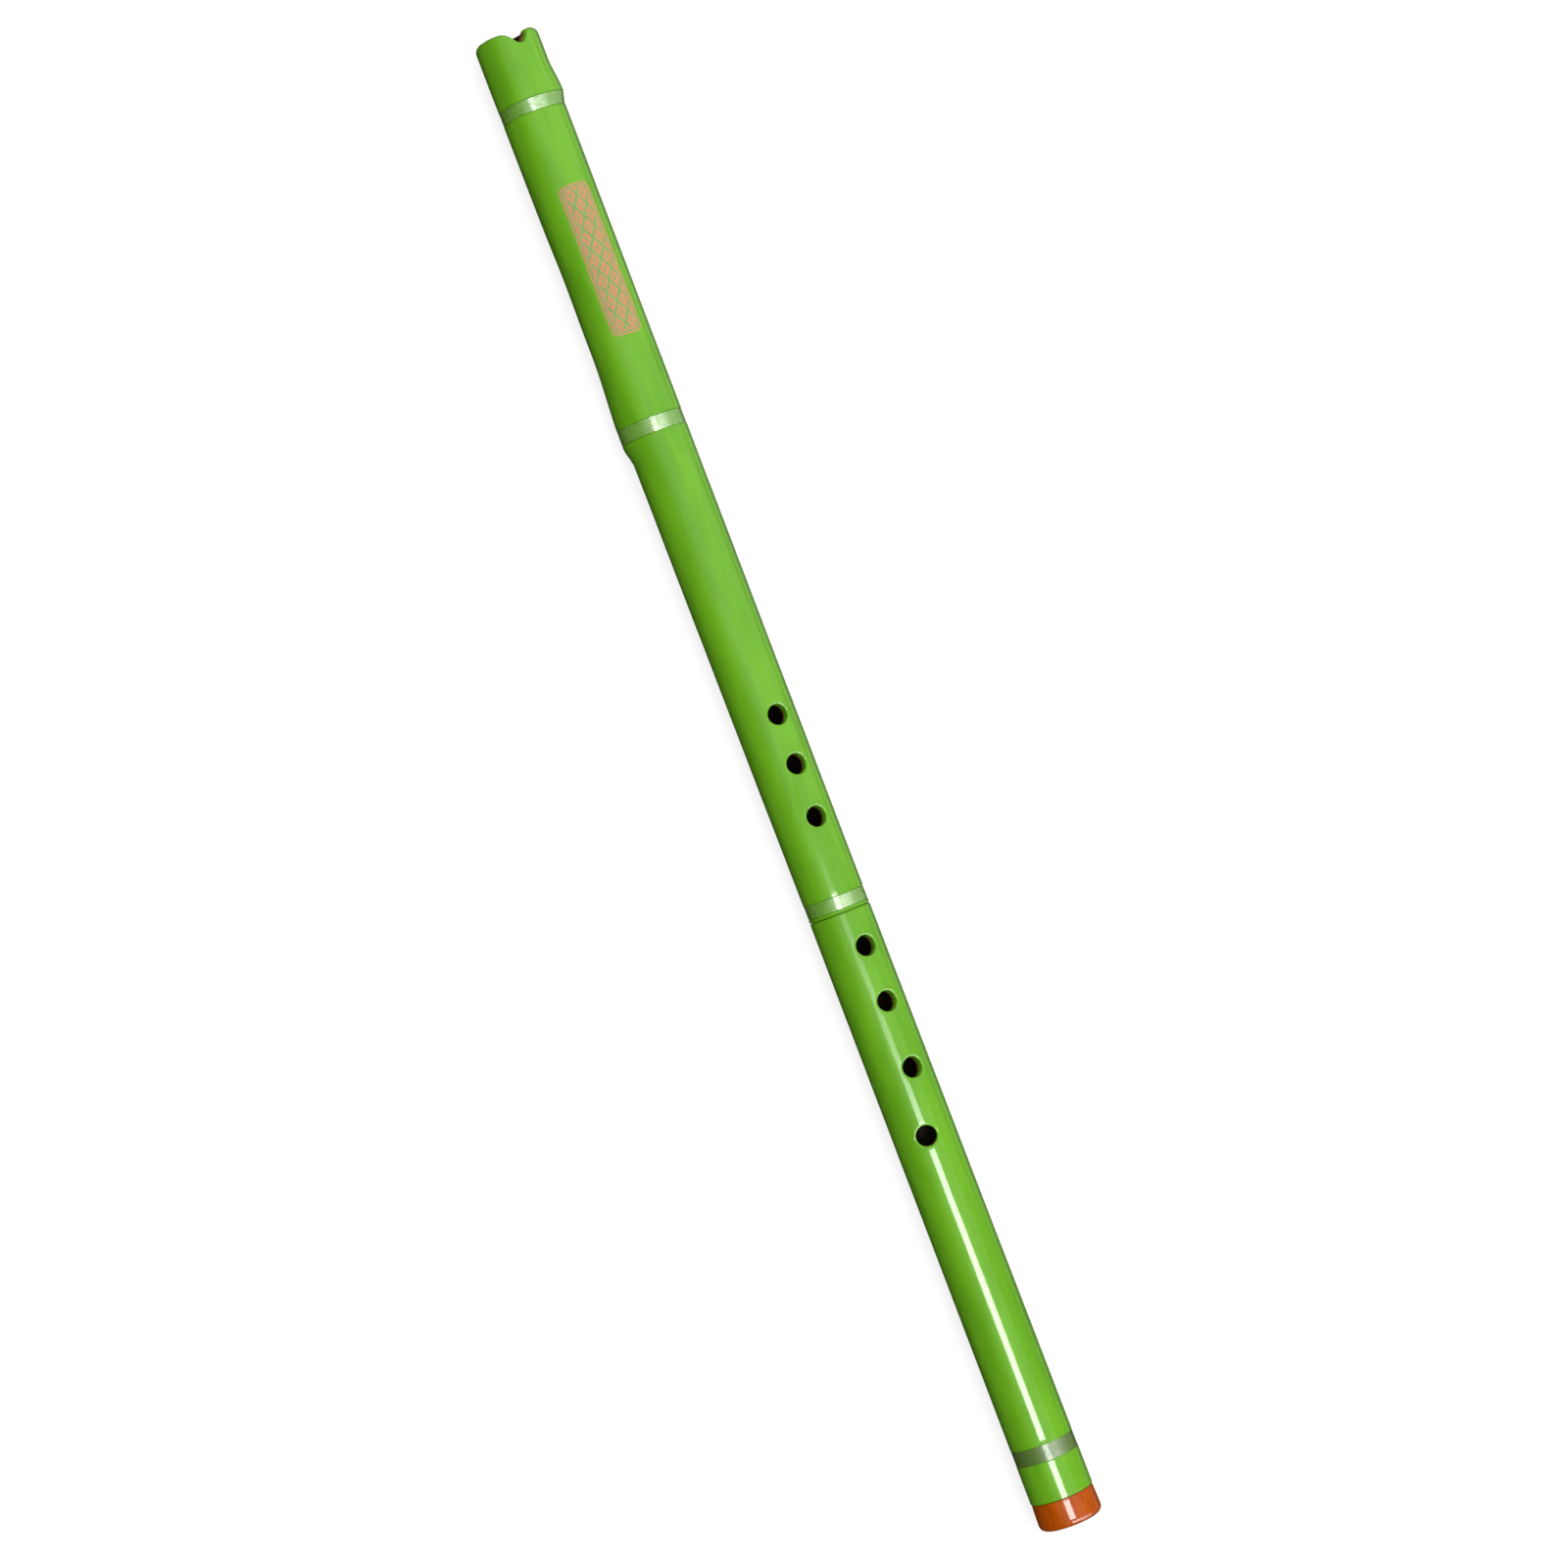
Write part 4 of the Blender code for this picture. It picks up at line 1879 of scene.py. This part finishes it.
@dataclass
class TenonLapping:
    """The cork lapping, which comes out with the tenon but doesn't turn with it."""

    BODY = "lapping"

    shop: Workshop
    start: float = -0.0220
    end: float = -0.0020
    inner: float = 0.0099
    outer: float = 0.0107

    def build(self) -> None:
        """Builds the lapping with its bevelled ends."""
        flute = self.shop.flute
        first, last = flute.seam_x + self.start, flute.seam_x + self.end
        profile = rounded(
            [
                (first, self.inner, 0.0),
                (first, self.outer, 0.0005),
                (last, self.outer, 0.0004),
                (last, self.inner, 0.0),
            ]
        )
        made = turned(flute, "cork_lapping", profile, self.shop.finishes.cork)
        settle_piece(made, self.BODY, "lapping_cork", "tenon_lapping")


@dataclass
class LowerSection:
    """The section with the tenon, four finger holes, two vents and the foot ring."""

    BODY = "lower_section"

    shop: Workshop
    hole_places: tuple[float, ...] = (0.4302, 0.4562, 0.4872)
    little_place: float = 0.5174
    little_turn: float = math.radians(-23)
    vent_radius: float = 0.0035
    vent_places: tuple[float, ...] = (0.5654, 0.5894)
    seat_radius: float = 0.0099
    seat_depth: float = 0.0103
    tenon_reach: float = 0.0240
    tenon_seat: float = 0.0100
    tenon_radius: float = 0.0096
    shoulder_chamfer: float = 0.0002
    spigot_radius: float = 0.0113
    spigot_length: float = 0.0090
    ring_seat: float = 0.0116
    ring_radius: float = 0.01455
    ring_necking: float = 0.00035
    ring_web: float = 0.0038
    ring_round: float = 0.0030
    ring_edge: float = 0.0003
    ring_lip: float = 0.0008

    def bands(self) -> tuple[Band, ...]:
        """The one band, of duller line, above the foot ring."""
        middle = self.shop.flute.length - 0.0345
        return (Band("binding_foot", self.BODY, middle, 0.0075, LineTone.DULL, 19, 0.00030),)

    def holes(self) -> tuple[Hole, ...]:
        """The finger holes, the little finger's turned to the side, and the vents behind.

        Returns:
            The holes, from the seam on.
        """
        radius = self.shop.flute.finger_radius
        front = tuple(Hole(place, radius, 0.0) for place in self.hole_places)
        little = Hole(self.little_place, radius, self.little_turn)
        vents = tuple(Hole(place, self.vent_radius, math.pi) for place in self.vent_places)
        return front + (little,) + vents

    def _rows(self) -> list[Row]:
        """The tube's closed profile, from the seam along the outside and back through the bore.

        Returns:
            The rings.
        """
        flute = self.shop.flute
        start = flute.seam + flute.fit_gap
        spigot_end = flute.shoulder + self.spigot_length
        seat_end = flute.seam + self.seat_depth
        first, last = start + flute.seam_chamfer, flute.shoulder - self.shoulder_chamfer
        rows = [
            Row(start, mixed(self.seat_radius, flute.joint, 0.5), 0.0, Part.RIM),
            Row(start, flute.joint - flute.seam_chamfer, 0.8, Part.RIM),
        ]
        rows += outside_rows(flute, first, last, self.bands(), self.holes())
        rows += [
            Row(flute.shoulder, flute.foot - self.shoulder_chamfer, 1.0, Part.RIM),
            Row(flute.shoulder, self.spigot_radius, 0.0, Part.RIM),
            Row(spigot_end, self.spigot_radius, 0.0, Part.RIM),
        ]
        rows += inside_rows(flute, seat_end, spigot_end, self.holes())
        rows += [
            Row(seat_end, self.seat_radius, 0.0, Part.RIM),
            Row(start, self.seat_radius, 0.0, Part.RIM),
        ]
        return rows

    def build(self) -> None:
        """Builds the tube, its winding, the tenon and the foot ring."""
        shop, flute = self.shop, self.shop.flute
        tube = Tube(flute, self._rows(), self.holes())
        made = shop.shape(tube.build("lower_cane", shop.finishes.lacquer))
        settle_piece(made, self.BODY, "lacquered_bamboo", "lower_tube")
        shop.wind(self.bands())
        settle_piece(self._tenon(), self.BODY, "sleeve_brass", "tenon_sleeve")
        settle_piece(self._ring(), self.BODY, "foot_ring_wood", "foot_ring")

    def _tenon(self) -> bpy.types.Object:
        """The brass tube that joins the sections.

        Returns:
            The object, at the origin and linked to the scene.
        """
        flute = self.shop.flute
        start, end = flute.seam_x - self.tenon_reach, flute.seam_x + self.tenon_seat
        profile = rounded(
            [
                (start, flute.bore, 0.00025),
                (start, self.tenon_radius, 0.00035),
                (end, self.tenon_radius, 0.0002),
                (end, flute.bore, 0.0002),
            ]
        )
        return turned(flute, "tenon_tube", profile, self.shop.finishes.brass)

    def _ring(self) -> bpy.types.Object:
        """The barrelled ring that covers the spigot and the end grain.

        Returns:
            The object, at the origin and linked to the scene.
        """
        flute = self.shop.flute
        start, end = flute.shoulder_x + flute.fit_gap, flute.foot_x
        barrel_end = end - self.ring_round
        neck = self.ring_radius - self.ring_necking
        edge = self.ring_edge
        outline = [(start, neck - edge), (start + edge / 3, neck - edge / 3)]
        for i in range(1, 11):
            share = i / 10
            bulge = self.ring_necking * math.sin(math.pi / 2 * share)
            outline.append((mixed(start, barrel_end, share), neck + bulge))
        size, lip = self.ring_round, self.ring_lip
        for sine, fall in quarter_round(12, first=1):
            outline.append((barrel_end + size * sine, self.ring_radius - size * fall))
        for sine, fall in quarter_round(6):
            outline.append((end - lip * fall, flute.bore + lip * (1 - sine)))
        web = end - self.ring_web
        outline += [(web, flute.bore), (web, self.ring_seat), (start, self.ring_seat)]
        return turned(flute, "foot_cap", outline, self.shop.finishes.amber)


@dataclass
class Card:
    """A flat glowing card of the studio, which the camera never sees."""

    name: str
    corners: Sequence[Vector | Place]
    strength: float = 1.0
    for_gloss: bool = True

    def __post_init__(self) -> None:
        """Opens the card's material and adds the nodes that read its coordinates."""
        self.made = Shader(self.name)
        self.x, self.y, self.z = self.made.graph.object_axes()

    @classmethod
    def level(cls, name: str, lows: Place, highs: Place, **settings: Any) -> "Card":
        """A card that lies flat, at the height of both its corners.

        Args:
            name: The card's name.
            lows: Its corner with the lowest X and Y.
            highs: The corner across from it.
            settings: The card's other fields.

        Returns:
            The card.
        """
        (left, front, height), (right, back, _) = lows, highs
        corners = [(left, front, height), (right, front, height)]
        return cls(name, [*corners, (right, back, height), (left, back, height)], **settings)

    @classmethod
    def upright(cls, name: str, ends: tuple[float, float], y: float, height: float) -> "Card":
        """A card that stands on the floor along the flute."""
        low, high = ends
        return cls(name, [(low, y, 0.0), (high, y, 0.0), (high, y, height), (low, y, height)])

    def rise(self) -> Signal:
        """The angle at which each place stands above the floor, as the flute sees it."""
        return self.made.graph.maths("ARCTANGENT", self.z)

    def hang(self, glow: Signal | float) -> None:
        """Hangs the card, which gloss or else soft light alone sees.

        Args:
            glow: How brightly each place of it glows, as a share of its strength.
        """
        colour = glow if isinstance(glow, Signal) else (glow,) * 3 + (1.0,)
        lit = {"Color": colour, "Strength": self.strength}
        material = self.made.close(self.made.graph.add("ShaderNodeEmission", None, lit))
        obj = staged(self.name, self.corners, material)
        obj.visible_glossy = self.for_gloss
        obj.visible_diffuse = not self.for_gloss
        for rays in ("camera", "transmission", "volume_scatter", "shadow"):
            setattr(obj, f"visible_{rays}", False)


def staged(
    name: str, corners: Sequence[Vector | Place], material: bpy.types.Material
) -> bpy.types.Object:
    """A flat four-sided piece of the stage.

    Args:
        name: The piece's name.
        corners: Its corners, in order round it.
        material: Its finish.

    Returns:
        The object, which is no part of the flute.
    """
    mesh = bpy.data.meshes.new(name)
    mesh.from_pydata([tuple(corner) for corner in corners], [], [(0, 1, 2, 3)])
    mesh.materials.append(material)
    obj = link_mesh(name, mesh)
    return obj


@dataclass
class Studio:
    """A pale floor, an even white sky with a dark side, and the lights that only gloss shows."""

    flute: Flute
    tilt: float = math.radians(26)
    distance: float = 1.85734
    lens: float = 96.75
    roll: tuple[float, float] = (0.35722, 0.93402)
    aim: tuple[float, float] = (0.00132, -0.002576)
    floor_albedo: float = 0.30
    floor_glow: float = 0.78
    strip_distance: float = 1.2
    strip_turn: float = math.radians(6)
    strip_core: float = math.radians(7.5)
    strip_reach: float = math.radians(13)
    strip_length: float = 0.62
    strip_strength: float = 23.0
    end_distance: float = 1.6
    end_strength: float = 15.0
    foot_shade: float = 0.75
    floor_side: float = 6.0

    @property
    def towards(self) -> Vector:
        """The direction from the flute to the camera."""
        return Vector((0.0, -math.sin(self.tilt), math.cos(self.tilt)))

    @property
    def across(self) -> Vector:
        """The direction square to the flute and to the camera's, on the photograph's right."""
        return Vector((0.0, math.cos(self.tilt), math.sin(self.tilt)))

    def build(self) -> None:
        """Builds the camera, the sky, the floor and the cards."""
        self._camera()
        self._sky()
        self._floor()
        self._flags()
        self._shades()
        self._strip()
        self._end_light()

    def _camera(self) -> None:
        """Sets the camera at the photograph's angle."""
        data = bpy.data.cameras.new("camera")
        data.sensor_width = 36.0
        data.lens = self.lens
        data.clip_end = 50.0
        camera = bpy.data.objects.new("camera", data)
        bpy.context.scene.collection.objects.link(camera)
        along = Vector((1.0, 0.0, 0.0))
        right = along * self.roll[0] + self.across * self.roll[1]
        up = along * -self.roll[1] + self.across * self.roll[0]
        target = Vector((0.0, 0.0, self.flute.axis_height))
        target += along * self.aim[0] + self.across * self.aim[1]
        turn = Matrix((right, up, self.towards)).transposed().to_4x4()
        camera.matrix_world = Matrix.Translation(target + self.towards * self.distance) @ turn
        bpy.context.scene.camera = camera

    @staticmethod
    def _sky() -> None:
        """An even white sky."""
        world = bpy.data.worlds.new("studio_sky")
        world.use_nodes = True
        background = world.node_tree.nodes["Background"]
        background.inputs["Color"].default_value = (1.0, 1.0, 1.0, 1.0)
        background.inputs["Strength"].default_value = 1.0
        bpy.context.scene.world = world

    def _floor(self) -> None:
        """A white floor that keeps the flute's shadow."""
        made = Shader("studio_floor")
        graph = made.graph
        path = graph.add("ShaderNodeLightPath", output="Is Camera Ray")
        seen = path.at_least(path.part("Is Glossy Ray")).at_least(path.part("Is Transmission Ray"))
        albedo = (self.floor_albedo,) * 3 + (1.0,)
        plain = graph.add("ShaderNodeBsdfDiffuse", None, {"Color": albedo})
        glow = graph.add("ShaderNodeEmission", None, {"Color": seen * self.floor_glow})
        both = graph.add("ShaderNodeAddShader", None, {0: plain, 1: glow})
        side = self.floor_side
        corners = [(-side, -side, 0.0), (side, -side, 0.0), (side, side, 0.0), (-side, side, 0.0)]
        staged("studio_floor", corners, made.close(both))

    @staticmethod
    def _flags() -> None:
        """The cards that shape the soft light: black at both sides and a brighter one above."""
        left = Card.upright("left_flag", (-2.5, 2.5), -1.0, 1.0)
        slope = [(-1.0, 1.0, 0.0), (1.4, 1.0, 0.0), (1.4, 1.0, 1.3), (-1.0, 1.0, 0.1)]
        top = Card.level("top_light", (-3.0, -1.45, 2.0), (3.0, 0.14, 2.0), strength=2.0)
        for card, glow in ((left, 0.0), (Card("right_flag", slope), 0.0), (top, 1.0)):
            card.for_gloss = False
            card.hang(glow)

    def _shades(self) -> None:
        """The cards that only gloss shows: a dark floor round the flute and graded sides."""
        floor = Card.level("floor_shade", (-2.5, -1.0, 0.0006), (2.5, 0.27, 0.0006))
        floor.hang(floor.y.ease(0.0, 0.25) * (1 - self.foot_shade * floor.x.ease(-0.15, 0.45)))
        left = Card.upright("left_shade", (-2.5, 2.5), -1.0, 3.2)
        left.hang(left.rise().ease(math.radians(8), math.radians(72)))
        right = Card.upright("right_shade", (-2.5, 1.1), 1.0, 1.7)
        rise = right.rise().ease(0.0, math.radians(26))
        right.hang(rise * (1 - self.foot_shade * right.x.ease(-0.15, 0.45)))

    def _strip(self) -> None:
        """The narrow softbox over the lower section, which only gloss shows."""
        cosine, sine = math.cos(self.strip_turn), math.sin(self.strip_turn)
        direction = self.towards * cosine + self.across * sine
        side = self.across * cosine - self.towards * sine
        centre = direction * self.strip_distance + Vector((0.0, 0.0, self.flute.axis_height))
        reach = self.strip_distance * math.tan(self.strip_reach)
        core = self.strip_distance * math.tan(self.strip_core)
        far = self.strip_length
        corners = [
            centre + side * edge + Vector((x, 0.0, 0.0))
            for x, edge in ((0.0, -reach), (far, -reach), (far, reach), (0.0, reach))
        ]
        card = Card("strip_light", corners, self.strip_strength)
        aside = card.y * side.y + card.z * side.z - centre.dot(side)
        levels = [(0.035, 0.0), (0.112, 0.15), (0.205, 0.25), (0.262, 0.50), (0.290, 0.90), (0.32, 1.0)]
        stops = [(place / far, (level,) * 3) for place, level in levels]
        ramp = card.made.graph.add("ShaderNodeValToRGB", {"stops": stops}, {"Fac": card.x * (1 / far)})
        card.hang(ramp * abs(aside).ease(reach, core))

    def _end_light(self) -> None:
        """A tall softbox beyond the foot, which glints on the turns of the line."""
        centre = Vector((self.end_distance, 0.0, self.flute.axis_height))
        corners = [
            centre + self.towards * up + self.across * right
            for up, right in ((-0.3, -0.2), (-0.3, 1.9), (1.9, 1.9), (1.9, -0.2))
        ]
        card = Card("end_light", corners, self.end_strength)
        height = card.z - self.flute.axis_height
        out = card.y * self.towards.y + height * self.towards.z
        aside = card.y * self.across.y + height * self.across.z
        angle = card.made.graph.maths("ARCTAN2", aside, out)
        clear = ((out * out + aside * aside) ** 0.5).ease(0.42, 0.48)
        low = angle.ease(math.radians(-4), math.radians(2))
        card.hang(clear * low * angle.ease(math.radians(150), math.radians(-30)))


def main() -> None:
    """Builds the flute's pieces in order, and then the studio."""
    logging.basicConfig(level=logging.INFO, format="%(name)s: %(message)s")
    flute = Flute.from_frame()
    LOG.info("%.1f mm long, seam at %.1f mm", flute.length * 1000, flute.seam * 1000)
    shop = Workshop(flute, Finishes.of(flute))
    UpperSection(shop).build()
    TenonLapping(shop).build()
    LowerSection(shop).build()
    bpy.context.scene.view_settings.view_transform = "Standard"
    Studio(flute).build()


if __name__ == "__main__":
    main()
